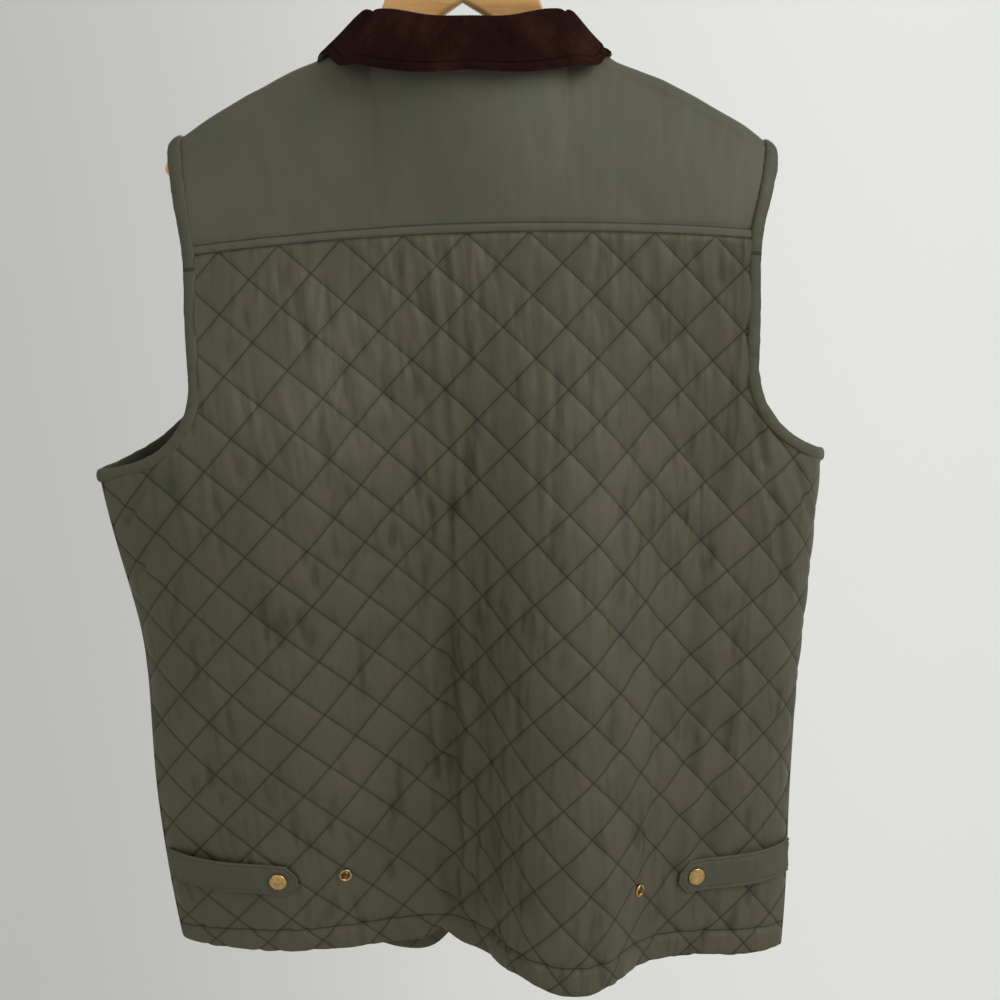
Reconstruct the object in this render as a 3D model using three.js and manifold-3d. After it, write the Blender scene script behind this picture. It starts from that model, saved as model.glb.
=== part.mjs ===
// A quilted vest with a plain back yoke and a corduroy collar, hanging on a wooden hanger.
// Millimetres, +Z up. The back of the garment faces +Y, the front faces -Y, and +X is the
// wearer's left. The origin is the inside top of the hanger's hook, where a rod carries it.
import * as THREE from "three";
import { mergeVertices } from "three/addons/utils/BufferGeometryUtils.js";
import Module from "manifold-3d";

const wasm = await Module();
wasm.setup();

// Cloth
const WALL = 2.2;
const PILLOW = 1.7;
const SEAM_GAP = 0.3;
const QUILT = 22.5; // half a diamond's diagonal, across and down
const QUILT_CENTRE = 4; // a column of crossings runs this far beside centre back

// Cut of the body, measured along the cloth; "below" is measured down from the yoke seam
const YOKE_HALF = 203;
const CHEST_HALF = 293;
const HEM_HALF = 285;
const UNDERARM = 158; // how far the armhole's seam lies below the yoke seam
const ARMHOLE_STRAIGHT = 85; // how far the armhole runs straight down before it turns out
const ARMHOLE_POWER = 2.3; // 2 turns it along an ellipse, more makes the corner fuller
const FRONT_ARMHOLE_IN = 10; // the front armhole is cut this much further in
const BACK_LENGTH = 573;
const FRONT_DROP = 31; // the front hem hangs this much lower at its centre
const BINDING = 8;
const BINDING_THICK = 3.4;

// Shoulders and neck
const SHOULDER_X = -5;
const SHOULDER_PEAK = -154;
const SHOULDER_PEAK_HALF = 107;
const SHOULDER_SLOPE = 0.56;
const SHOULDER_BOW = 7; // the shoulder line rises over a straight one
const SHOULDER_BOW_AT = 175;
const SHOULDER_BOW_HALF = 68;
const SHOULDER_HALF = 216; // half the width between the armhole bindings, at the shoulders
const RIDGE = 11; // radius of the cloth over the hanger's arm
const NECK_HALF = 76;
const NECK_BACK_Y = 48;
const NECK_BACK_Z = -150;
const NECK_FRONT_DROP = 68;

// Height of the yoke seam, its sag towards the armholes and the fall of the cloth below it
const SEAM_Z = -276;
const SAG_TOP = 10;
const SAG_HEM = 7;
const SAG_AT = 200;
const SEAM_TILT = 0.03; // the yoke seam hangs lower on the left
const TILT_FADE = 200; // and the tilt is gone this far below it
const FALL = 0.986;

// The back, a row for each level: where its centre hangs, how far its sides and middle
// stand out, the depth of its three great folds, and how far each side turns round to the
// side seam
const BACK_COLUMNS = [
  "below", "centreX", "left", "right", "bulge", "crest", "valley", "hollow", "turnLeft", "turnRight",
];
const BACK_SECTIONS = [
  [0, -7, 20, 20, 28, 0, 0, 0, 12, 26],
  [145, -15, 60, 19, 66, -18, 50, 37, 0, 37],
  [290, -18, 39, 20, 70, 9, 65, 31, 10, 31],
  [435, -24, 35, 18, 45, 39, 57, 17, 10, 31],
  [569, -28, 12, 35, 34, 60, 48, 23, 5, 27],
].map((row) => Object.fromEntries(row.map((value, i) => [BACK_COLUMNS[i], value])));
const BACK_FOLDS = [
  { depth: "crest", sign: 1, at: -70, leftWidth: 80, rightWidth: 62 },
  { depth: "valley", sign: -1, at: 47, leftWidth: 62, rightWidth: 62 },
  { depth: "hollow", sign: -1, at: -159, leftWidth: 52, rightWidth: 52 },
];
const TURN_LEFT_WIDTH = 24;
const TURN_RIGHT_WIDTH = 48;

// The front, a row for each level: its plane, its middle, and its folds
const FRONT_SECTIONS = [
  { below: 0, plane: -26, belly: 10, drawIn: 0, leftFold: 0, rightFold: 0 },
  { below: 145, plane: -32, belly: 16, drawIn: 0, leftFold: 5, rightFold: 3 },
  { below: 290, plane: -38, belly: 12, drawIn: 4, leftFold: 12, rightFold: 9 },
  { below: 435, plane: -40, belly: 6, drawIn: 14, leftFold: 17, rightFold: 15 },
  { below: 569, plane: -42, belly: 0, drawIn: 26, leftFold: 20, rightFold: 20 },
];
const FRONT_FOLDS = [
  { depth: "drawIn", sign: 1, at: 62, leftWidth: 46, rightWidth: 40 },
  { depth: "leftFold", sign: -1, at: 160, leftWidth: 34, rightWidth: 34 },
  { depth: "rightFold", sign: -1, at: -120, leftWidth: 38, rightWidth: 34 },
];
const STEEPEST = 0.85; // sine of the steepest slope of the cloth across a fold

// Front closing
const FRONT_EDGE = 3.8; // each front ends this far from the centre, under the placket
const PLACKET_HALF = 22;
const PLACKET_THICK = 2.2;
const PLACKET_TOP = -52;
const FRONT_SNAPS = 6;
const FRONT_SNAP_FIRST = -34;
const FRONT_SNAP_LAST = 500;

// Adjuster tabs
const TAB_ENDS = { left: 174, right: 179 };
const TAB_SEAM = 281;
const TAB_HALF = 14;
const TAB_POINT = 8;
const TAB_BELOW = 503;
const TAB_RISES = { left: 16, right: 10 }; // how much higher it leaves the side seam
const TAB_THICK = 2.2;
const CAP_IN = 15;
const CAP_RADIUS = 7;
const CAP_HEIGHT = 2.2;
const STUD_AT = 137;
const STUD_RADIUS = 5.2;
const STUD_HEIGHT = 2.6;

// Collar
const COLLAR_THICK = 2.6;
const COLLAR_STAND = 19;
const COLLAR_SECTIONS = [
  { round: 0, reach: 14, drop: 16 },
  { round: 0.25, reach: 20, drop: 14 },
  { round: 0.42, reach: 31, drop: 12 },
  { round: 0.5, reach: 35, drop: 2 },
  { round: 0.58, reach: 29, drop: 11 },
  { round: 0.7, reach: 21, drop: 34 },
  { round: 1, reach: 20, drop: 46 },
];
const COLLAR_FRONT = 0.955; // how far round the neck the collar's ends come

// Hanger
const ARM_CLEAR = 4.8; // from the cloth's ridge down to the wood
const ARM_TALL = 20;
const ARM_THICK = 12.5;
const ARM_END = 219;
const HANGER_TOP = -75;
const HUMP = [
  { out: 0, top: HANGER_TOP },
  { out: 22, top: -78.5 },
  { out: 41, top: -90 },
  { out: 53.5, top: -107 },
  { out: 59.5, top: -122 },
  { out: 66, top: -136 },
];
const VEE_Z = -114.5;
const WOOD_BEVEL = 5;
const TIP_ROUND = 8;
const WOOD_STATIONS = [0, 14, 28, 41, 53.5, 59.5, 66, 107, 130, 155, 180, 200, 211, 216, 219];
const HOOK_INSIDE = 20;
const HOOK_WIRE = 2;

const WRAP_LEAST = 22; // least width over which the front wraps round to a side seam

const clamp = (v, low, high) => Math.min(high, Math.max(low, v));
const mix = (a, b, q) => a + (b - a) * q;
const smooth = (q) => q * q * (3 - 2 * q);

// A column of a table of levels, joined by a smooth curve.
function along(rows, column, value, key = "below") {
  const last = rows.length - 2;
  let k = 0;
  while (k < last && value > rows[k + 1][key]) k++;
  const slope = (i) => {
    const a = rows[Math.max(i - 1, 0)];
    const b = rows[Math.min(i + 1, rows.length - 1)];
    return (b[column] - a[column]) / (b[key] - a[key]);
  };
  const span = rows[k + 1][key] - rows[k][key];
  const q = clamp((value - rows[k][key]) / span, 0, 1.1);
  return (
    (2 * q ** 3 - 3 * q ** 2 + 1) * rows[k][column] +
    (q ** 3 - 2 * q ** 2 + q) * span * slope(k) +
    (3 * q ** 2 - 2 * q ** 3) * rows[k + 1][column] +
    (q ** 3 - q ** 2) * span * slope(k + 1)
  );
}

function foldsAt(rows, folds, across, below) {
  let sum = 0;
  for (const fold of folds) {
    const off = across - fold.at;
    const width = off > 0 ? fold.leftWidth : fold.rightWidth;
    sum += fold.sign * along(rows, fold.depth, below) * Math.exp(-0.5 * (off / width) ** 2);
  }
  return sum;
}

// Half the body's width at a level, from the centre to the side seam.
const halfWidth = (below) =>
  mix(CHEST_HALF, HEM_HALF, clamp((below - UNDERARM) / (BACK_LENGTH - UNDERARM), 0, 1.05));

const seamHeight = (across) =>
  SEAM_Z - SEAM_TILT * across - SAG_TOP * (across / SAG_AT) ** 2;

function height(across, below) {
  const sag = mix(SAG_TOP, SAG_HEM, clamp(below / BACK_LENGTH, 0, 1));
  const tilt = SEAM_TILT * (1 - smooth(clamp(below / TILT_FADE, 0, 1)));
  return SEAM_Z - tilt * across - sag * (across / SAG_AT) ** 2 - FALL * below;
}

// How far the back stands out towards +Y.
function backDepth(across, level) {
  const below = Math.max(level, 0);
  const half = halfWidth(below);
  const side = across / half;
  const sides = mix(
    along(BACK_SECTIONS, "right", below),
    along(BACK_SECTIONS, "left", below),
    (1 + side) / 2,
  );
  return (
    sides +
    along(BACK_SECTIONS, "bulge", below) * (1 - side ** 2) +
    foldsAt(BACK_SECTIONS, BACK_FOLDS, across, below) -
    along(BACK_SECTIONS, "turnLeft", below) * Math.exp(-Math.max(half - across, 0) / TURN_LEFT_WIDTH) -
    along(BACK_SECTIONS, "turnRight", below) * Math.exp(-Math.max(half + across, 0) / TURN_RIGHT_WIDTH)
  );
}

// How far the front stands out: its plane, wrapped round to the back's side seams.
function frontDepth(across, level) {
  const below = Math.max(level, 0);
  const half = halfWidth(below);
  const flat = (s) =>
    along(FRONT_SECTIONS, "plane", below) -
    along(FRONT_SECTIONS, "belly", below) * (1 - (s / half) ** 2) +
    foldsAt(FRONT_SECTIONS, FRONT_FOLDS, s, below);
  let depth = flat(across);
  for (const sign of [1, -1]) {
    const seam = sign * half;
    const wrap = (backDepth(seam, below) - flat(seam)) * smooth(clamp(below / UNDERARM, 0, 1));
    const width = Math.max(Math.abs(wrap) / STEEPEST, WRAP_LEAST);
    depth += wrap * Math.exp(-Math.max(half - sign * across, 0) / width);
  }
  return depth;
}

// X across a drape: the cloth's length is kept as it goes in and out of the folds.
const LEAST_RUN = 0.06; // square of the least run in X for a length of cloth
const TABLE_STEP = 5;
const TABLE_HALF = 310;
const LEVEL_STEP = 12;
const LEVELS = Math.ceil((BACK_LENGTH + 40) / LEVEL_STEP);
function acrossTable(depth) {
  const rows = [];
  for (let k = 0; k <= LEVELS; k++) {
    const below = k * LEVEL_STEP;
    const row = [0];
    for (let s = -TABLE_HALF; s < TABLE_HALF; s += TABLE_STEP) {
      const slope = (depth(s + TABLE_STEP, below) - depth(s, below)) / TABLE_STEP;
      const drop = (height(s + TABLE_STEP, below) - height(s, below)) / TABLE_STEP;
      row.push(row.at(-1) + TABLE_STEP * Math.sqrt(Math.max(1 - slope ** 2 - drop ** 2, LEAST_RUN)));
    }
    rows.push(row);
  }
  return (across, level) => {
    const k = clamp(level / LEVEL_STEP, 0, LEVELS - 1e-6);
    const i = clamp((across + TABLE_HALF) / TABLE_STEP, 0, rows[0].length - 1.000001);
    const at = (row) => mix(row[Math.floor(i)], row[Math.floor(i) + 1], i % 1);
    return mix(at(rows[Math.floor(k)]), at(rows[Math.floor(k) + 1]), k % 1);
  };
}
const backAcross = acrossTable(backDepth);
const frontAcross = acrossTable(frontDepth);

const backX = (across, below) =>
  along(BACK_SECTIONS, "centreX", Math.max(below, 0)) +
  backAcross(across, below) -
  backAcross(0, below);

// The front's X is spread so that both of its side seams meet the back's.
function frontX(across, below) {
  const half = halfWidth(below);
  const right = backX(-half, below);
  const left = backX(half, below);
  const from = frontAcross(-half, below);
  const q = (frontAcross(across, below) - from) / (frontAcross(half, below) - from);
  return mix(right, left, q);
}

// The shoulder's ridge, its height over a place across the body.
function ridge(x) {
  const out = Math.abs(x - SHOULDER_X);
  const bow = SHOULDER_BOW * Math.max(1 - ((out - SHOULDER_BOW_AT) / SHOULDER_BOW_HALF) ** 2, 0);
  return SHOULDER_PEAK - SHOULDER_SLOPE * (out - SHOULDER_PEAK_HALF) + bow;
}

// A column flares as it rises from the yoke seam to the shoulder.
const flare = (x) => SHOULDER_X + (x - SHOULDER_X) * (SHOULDER_HALF / YOKE_HALF);

const backSurface = (across, below) =>
  new THREE.Vector3(backX(across, below), backDepth(across, below), height(across, below));

function frontSurface(across, below) {
  const low = frontX(across, below);
  const depth = frontDepth(across, below);
  if (below >= 0) return new THREE.Vector3(low, depth, height(across, below));
  const top = ridge(flare(low)) - RIDGE;
  const z = seamHeight(across) - FALL * below;
  const rise = clamp((z - seamHeight(across)) / (top - seamHeight(across)), 0, 1.2);
  return new THREE.Vector3(mix(low, flare(low), rise), mix(depth, -RIDGE, smooth(Math.min(rise, 1))), z);
}
// How far the front's shoulder seam lies above the yoke seam's level.
const shoulderBelow = (across) =>
  -(ridge(flare(frontX(across, 0))) - RIDGE - seamHeight(across)) / FALL;

// The back yoke's column over a place along the yoke seam: up to the shoulder's ridge and
// over it, or up to the neck seam. "up" runs from 0 at the yoke seam to 1 at its top edge.
const neckY = (x) =>
  -RIDGE + (NECK_BACK_Y + RIDGE) * Math.sqrt(Math.max(1 - ((x - SHOULDER_X) / NECK_HALF) ** 2, 0));
const YOKE_BOW = 4;
const NECK_SPREAD = 62; // the yoke swells towards the neck over this half width
function yokeColumn(across) {
  const foot = backSurface(across, 0);
  const x = flare(foot.x);
  const inNeck = Math.abs(x - SHOULDER_X) < NECK_HALF;
  const edgeY = inNeck ? neckY(x) : -RIDGE;
  const bendZ = ridge(x) - RIDGE;
  const bend =
    edgeY > RIDGE
      ? new THREE.Vector2(edgeY, mix(bendZ, NECK_BACK_Z, smooth((edgeY - RIDGE) / (NECK_BACK_Y - RIDGE))))
      : new THREE.Vector2(RIDGE, bendZ);
  const turned = edgeY > RIDGE ? 0 : Math.acos(clamp(edgeY / RIDGE, -1, 1));
  const flat = Math.hypot(bend.x - foot.y, bend.y - foot.z);
  const swell = Math.exp(-(((x - SHOULDER_X) / NECK_SPREAD) ** 2));
  const kink = bend.x - mix(RIDGE, NECK_BACK_Y, swell);
  return { foot, x, bend, bendZ, turned, flat, kink };
}
function yokeFlatShare(across) {
  const { flat, turned } = yokeColumn(across);
  return flat / (flat + turned * RIDGE);
}
function yokeSurface(across, up) {
  const { foot, x, bend, bendZ, turned, flat, kink } = yokeColumn(across);
  const way = up * (flat + turned * RIDGE);
  if (way <= flat) {
    const q = way / flat;
    const bow = YOKE_BOW * Math.sin(Math.PI * q) - kink * (q - q ** 3);
    return new THREE.Vector3(mix(foot.x, x, q), mix(foot.y, bend.x, q) + bow, mix(foot.z, bend.y, q));
  }
  const angle = (way - flat) / RIDGE;
  return new THREE.Vector3(x, RIDGE * Math.cos(angle), bendZ + RIDGE * Math.sin(angle));
}

// The point that lies a way off a surface, along its outward normal.
const NORMAL_STEP = 1.5;
function off(surface, u, v, distance, stepU, stepV, facing) {
  const along1 = surface(u + stepU, v).sub(surface(u - stepU, v));
  const along2 = surface(u, v + stepV).sub(surface(u, v - stepV));
  const normal = along1.cross(along2).normalize().multiplyScalar(facing * distance);
  return surface(u, v).add(normal);
}
const UP_STEP = 0.012;
const offBack = (across, below, distance) =>
  off(backSurface, across, below, distance, NORMAL_STEP, NORMAL_STEP, 1);
const offFront = (across, below, distance) =>
  off(frontSurface, across, below, distance, NORMAL_STEP, NORMAL_STEP, -1);
const offYoke = (across, up, distance) =>
  off(yokeSurface, across, clamp(up, UP_STEP, 1 - UP_STEP), distance, NORMAL_STEP, UP_STEP, -1)
    .sub(yokeSurface(across, clamp(up, UP_STEP, 1 - UP_STEP)))
    .add(yokeSurface(across, up));

function meshOf(points, triangles) {
  const geometry = new THREE.BufferGeometry();
  const places = points.flatMap((p) => [p.x, p.y, p.z]);
  geometry.setAttribute("position", new THREE.Float32BufferAttribute(places, 3));
  geometry.setIndex(triangles);
  return geometry;
}

// A closed wall between two grids of points, "columns" wide, "rows" tall.
function wall(columns, rows, outer, inner) {
  const points = [];
  const triangles = [];
  for (const side of [outer, inner])
    for (let j = 0; j <= rows; j++) for (let i = 0; i <= columns; i++) points.push(side(i, j));
  const wide = columns + 1;
  const size = wide * (rows + 1);
  const quad = (a, b, c, d) => triangles.push(a, b, c, a, c, d);
  for (let j = 0; j < rows; j++)
    for (let i = 0; i < columns; i++) {
      const a = j * wide + i;
      quad(a, a + 1, a + 1 + wide, a + wide);
      quad(size + a, size + a + wide, size + a + wide + 1, size + a + 1);
    }
  for (let i = 0; i < columns; i++) {
    const top = rows * wide + i;
    quad(i + 1, i, size + i, size + i + 1);
    quad(top, top + 1, size + top + 1, size + top);
  }
  for (let j = 0; j < rows; j++) {
    const left = j * wide;
    const right = left + columns;
    quad(left, left + wide, size + left + wide, size + left);
    quad(right + wide, right, size + right, size + right + wide);
  }
  return meshOf(points, triangles);
}

// A closed loft through rings of points; it joins its last ring to its first if it is a ring.
function loft(rings, isRing) {
  const sides = rings[0].length;
  const points = rings.flat();
  const triangles = [];
  const count = isRing ? rings.length : rings.length - 1;
  for (let k = 0; k < count; k++) {
    const a = k * sides;
    const b = ((k + 1) % rings.length) * sides;
    for (let i = 0; i < sides; i++) {
      const n = (i + 1) % sides;
      triangles.push(a + i, a + n, b + n, a + i, b + n, b + i);
    }
  }
  if (!isRing) {
    const end = (rings.length - 1) * sides;
    for (let i = 1; i < sides - 1; i++) {
      triangles.push(0, i + 1, i);
      triangles.push(end, end + i, end + i + 1);
    }
  }
  return meshOf(points, triangles);
}

function solidOf(geometry) {
  const plain = geometry.clone();
  plain.deleteAttribute("normal");
  plain.deleteAttribute("uv");
  const merged = mergeVertices(plain, 1e-4);
  return new wasm.Manifold(
    new wasm.Mesh({
      numProp: 3,
      vertProperties: merged.attributes.position.array,
      triVerts: new Uint32Array(merged.index.array),
    }),
  );
}

function geometryOf(solid) {
  const mesh = solid.getMesh();
  const geometry = new THREE.BufferGeometry();
  geometry.setAttribute("position", new THREE.Float32BufferAttribute(mesh.vertProperties, 3));
  geometry.setIndex(Array.from(mesh.triVerts));
  return geometry;
}

// Turns a mesh whose faces point inwards the right way round.
function facingOut(geometry) {
  const p = geometry.attributes.position;
  const index = geometry.index.array;
  const [a, b, c] = [0, 1, 2].map(() => new THREE.Vector3());
  let volume = 0;
  for (let i = 0; i < index.length; i += 3) {
    a.fromBufferAttribute(p, index[i]);
    b.fromBufferAttribute(p, index[i + 1]);
    c.fromBufferAttribute(p, index[i + 2]);
    volume += a.dot(b.cross(c));
  }
  if (volume < 0)
    for (let i = 0; i < index.length; i += 3) [index[i], index[i + 1]] = [index[i + 1], index[i]];
  return geometry;
}

// Height of the quilting's pillows over the cut cloth: nothing on the sewn lines, most in
// the middle of a diamond.
function pillow(i, j) {
  const onLine = (i + j) % 4 === 0 || (i - j) % 4 === 0;
  if (onLine) return 0;
  return (i + j) % 2 === 0 ? 1 : 0.75;
}

// A flat slab of quilted cloth in pattern space: x across, y below and z out of the cloth.
// Its outer face follows the diamonds, more closely when it is fine. Its inner face is plain,
// with longer steps down than across, as the folds run down.
const QUARTER = QUILT / 2;
const INNER_GRAIN = 0.06; // keeps the inner face's grid when it is cut
function quiltedSlab(fromAcross, toAcross, fromBelow, toBelow, fine) {
  const i0 = 4 * Math.floor((fromAcross - QUILT_CENTRE) / (4 * QUARTER));
  const i1 = 4 * Math.ceil((toAcross - QUILT_CENTRE) / (4 * QUARTER));
  const j0 = 4 * Math.floor(fromBelow / (4 * QUARTER));
  const j1 = 4 * Math.ceil(toBelow / (4 * QUARTER));
  const points = [];
  const triangles = [];
  const place = new Map();
  const vertex = (i, j, z, side) => {
    const key = i + "," + j + "," + side;
    if (!place.has(key)) {
      place.set(key, points.length);
      points.push(new THREE.Vector3(QUILT_CENTRE + i * QUARTER, j * QUARTER, z));
    }
    return place.get(key);
  };
  const top = (i, j) => vertex(i, j, PILLOW * pillow(i, j), "top");
  const low = (i, j) => vertex(i, j, -WALL + ((i / 2 + j / 4) % 2 === 0 ? INNER_GRAIN : 0), "low");
  const quad = (a, b, c, d) => triangles.push(a, b, c, a, c, d);
  for (let i = i0; i < i1; i += 2)
    for (let j = j0; j < j1; j += 2) {
      const middle = top(i + 1, j + 1);
      const round = [[0, 0], [1, 0], [2, 0], [2, 1], [2, 2], [1, 2], [0, 2], [0, 1]]
        .filter(([a, b]) => fine || (a + b) % 2 === 0)
        .map(([a, b]) => top(i + a, j + b));
      round.forEach((v, k) => triangles.push(middle, v, round[(k + 1) % round.length]));
    }
  for (let i = i0; i < i1; i += 2)
    for (let j = j0; j < j1; j += 4) quad(low(i, j), low(i, j + 4), low(i + 2, j + 4), low(i + 2, j));
  // Round the edge, each outer step is closed on the nearer inner vertex.
  const chain = (fromI, fromJ, toI, toJ, step, at) => {
    const steps = Math.max(Math.abs(toI - fromI), Math.abs(toJ - fromJ)) / step;
    const walk = (from, to, k) => Math.round(mix(from, to, k / steps));
    return Array.from({ length: steps + 1 }, (_, k) => at(walk(fromI, toI, k), walk(fromJ, toJ, k)));
  };
  const sides = [[i0, j0, i1, j0, 2], [i1, j0, i1, j1, 4], [i1, j1, i0, j1, 2], [i0, j1, i0, j0, 4]];
  for (const [fromI, fromJ, toI, toJ, lowStep] of sides) {
    const tops = chain(fromI, fromJ, toI, toJ, fine ? 1 : 2, top);
    const lows = chain(fromI, fromJ, toI, toJ, lowStep, low);
    const share = (tops.length - 1) / (lows.length - 1);
    for (let k = 0; k < lows.length - 1; k++) {
      const first = k * share;
      for (let n = 0; n < share; n++) triangles.push(tops[first + n + 1], tops[first + n], lows[k]);
      triangles.push(tops[first + share], lows[k], lows[k + 1]);
    }
  }
  return meshOf(points, triangles);
}

// The armhole's seam in the pattern, from the level of the yoke seam to the side seam.
const ARMHOLE_STEPS = 12;
function armhole(halfAtSeam) {
  const out = [];
  const reach = CHEST_HALF - halfAtSeam;
  for (let k = 0; k <= ARMHOLE_STEPS; k++) {
    const angle = (k / ARMHOLE_STEPS) * (Math.PI / 2);
    const across = CHEST_HALF - reach * Math.cos(angle) ** (2 / ARMHOLE_POWER);
    const below = ARMHOLE_STRAIGHT + (UNDERARM - ARMHOLE_STRAIGHT) * Math.sin(angle) ** (2 / ARMHOLE_POWER);
    out.push(new THREE.Vector2(across, below));
  }
  return out;
}

// Cuts a panel's outline out of quilted cloth and hangs it on its drape.
const SIDE_TRIM = 4; // the inner face stops short where the side seam turns
function panel(outline, drape, fine) {
  const across = outline.map((p) => p.x);
  const below = outline.map((p) => p.y);
  const [left, right] = [Math.min(...across), Math.max(...across)];
  const slab = quiltedSlab(left, right, Math.min(...below), Math.max(...below), fine);
  const shape = new THREE.Shape(outline);
  const cutter = new THREE.ExtrudeGeometry(shape, { depth: 4 * WALL, bevelEnabled: false });
  cutter.translate(0, 0, -2 * WALL);
  const cut = geometryOf(solidOf(facingOut(slab)).intersect(solidOf(cutter)));
  const p = cut.attributes.position;
  for (let i = 0; i < p.count; i++) {
    const out = p.getZ(i);
    const depth = Math.max(-out, 0) / WALL;
    const x = p.getX(i) * (1 - (depth * SIDE_TRIM * WALL) / CHEST_HALF);
    const point = drape(x, p.getY(i), out);
    p.setXYZ(i, point.x, point.y, point.z);
  }
  return facingOut(cut);
}

const mirrored = (points) => points.map((p) => new THREE.Vector2(-p.x, p.y)).reverse();
const SIDE_STEPS = 6;
const sideSeam = () =>
  Array.from({ length: SIDE_STEPS + 1 }, (_, k) => {
    const below = mix(UNDERARM, BACK_LENGTH, k / SIDE_STEPS);
    return new THREE.Vector2(halfWidth(below) - SEAM_GAP / 2, below);
  }).slice(1);

function backOutline() {
  const left = [new THREE.Vector2(YOKE_HALF, SEAM_GAP), ...armhole(YOKE_HALF), ...sideSeam()];
  return [...left, ...mirrored(left)];
}

const SHOULDER_GAP = 0.9;
const SHOULDER_STEPS = 4;
const NECK_STEPS = 8;
const FRONT_HEM_STEPS = 8;
const FRONT_INNER = YOKE_HALF - FRONT_ARMHOLE_IN;
const FRONT_NECK_END = (NECK_HALF * YOKE_HALF) / SHOULDER_HALF;
// The front armhole's upper part: a share q of the way up to the shoulder seam.
const upperArmhole = (sign, q) =>
  new THREE.Vector2(
    mix(FRONT_INNER, YOKE_HALF, smooth(q)),
    mix(0, shoulderBelow(sign * YOKE_HALF), q),
  );
function frontOutline(sign) {
  const shoulder = [];
  for (let k = 0; k <= SHOULDER_STEPS; k++) {
    const across = mix(FRONT_NECK_END, YOKE_HALF, k / SHOULDER_STEPS);
    shoulder.push(new THREE.Vector2(across, shoulderBelow(sign * across) + SHOULDER_GAP));
  }
  const neck = [];
  for (let k = 0; k < NECK_STEPS; k++) {
    const across = mix(FRONT_EDGE, FRONT_NECK_END, k / NECK_STEPS);
    neck.push(new THREE.Vector2(across, neckBelow(sign, across)));
  }
  const hole = [0.75, 0.5, 0.25, 0].map((q) => upperArmhole(sign, q));
  const hem = [];
  for (let k = 1; k <= FRONT_HEM_STEPS; k++) {
    const across = mix(halfWidth(BACK_LENGTH) - SEAM_GAP / 2, FRONT_EDGE, k / FRONT_HEM_STEPS);
    hem.push(new THREE.Vector2(across, hemBelow(across)));
  }
  const left = [...neck, ...shoulder, ...hole, ...armhole(FRONT_INNER), ...sideSeam(), ...hem];
  return sign > 0 ? left : mirrored(left);
}
const hemBelow = (across) =>
  BACK_LENGTH + FRONT_DROP * smooth(1 - clamp(Math.abs(across) / HEM_HALF, 0, 1));
// The front's neck seam in the pattern: down from the shoulder seam to the centre.
function neckBelow(sign, across) {
  const q = 1 - across / FRONT_NECK_END;
  const drop = (NECK_FRONT_DROP / FALL) * Math.sin((Math.PI / 2) * q);
  return shoulderBelow(sign * FRONT_NECK_END) + SHOULDER_GAP + drop;
}

// The back yoke.
const YOKE_NECK_COLUMNS = 9; // each side of centre back
const YOKE_SHOULDER_COLUMNS = 7;
const YOKE_FLAT_ROWS = 5;
const YOKE_TURN_ROWS = 7;
const YOKE_FLAT_MOST = 0.88; // the most of a column that its flat rows take up
const YOKE_FOOT = 0.004; // leaves the yoke seam's gap
function yoke() {
  const places = [acrossOf(SHOULDER_X)];
  for (const sign of [-1, 1]) {
    const put = (across) => (sign < 0 ? places.unshift(across) : places.push(across));
    for (let k = 1; k <= YOKE_NECK_COLUMNS; k++)
      put(acrossOf(SHOULDER_X + sign * NECK_HALF * Math.sin((Math.PI / 2) * (k / YOKE_NECK_COLUMNS))));
    const neckEnd = acrossOf(SHOULDER_X + sign * NECK_HALF);
    for (let k = 1; k <= YOKE_SHOULDER_COLUMNS; k++)
      put(mix(neckEnd, sign * YOKE_HALF, k / YOKE_SHOULDER_COLUMNS));
  }
  const across = (i) => places[i];
  const up = (i, j) => {
    const share = Math.min(yokeFlatShare(across(i)), YOKE_FLAT_MOST);
    if (j <= YOKE_FLAT_ROWS) return mix(YOKE_FOOT, share, j / YOKE_FLAT_ROWS);
    return mix(share, 1, (j - YOKE_FLAT_ROWS) / YOKE_TURN_ROWS);
  };
  return facingOut(
    wall(
      places.length - 1,
      YOKE_FLAT_ROWS + YOKE_TURN_ROWS,
      (i, j) => offYoke(across(i), up(i, j), 0),
      (i, j) => offYoke(across(i), up(i, j), -WALL),
    ),
  );
}

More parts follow.
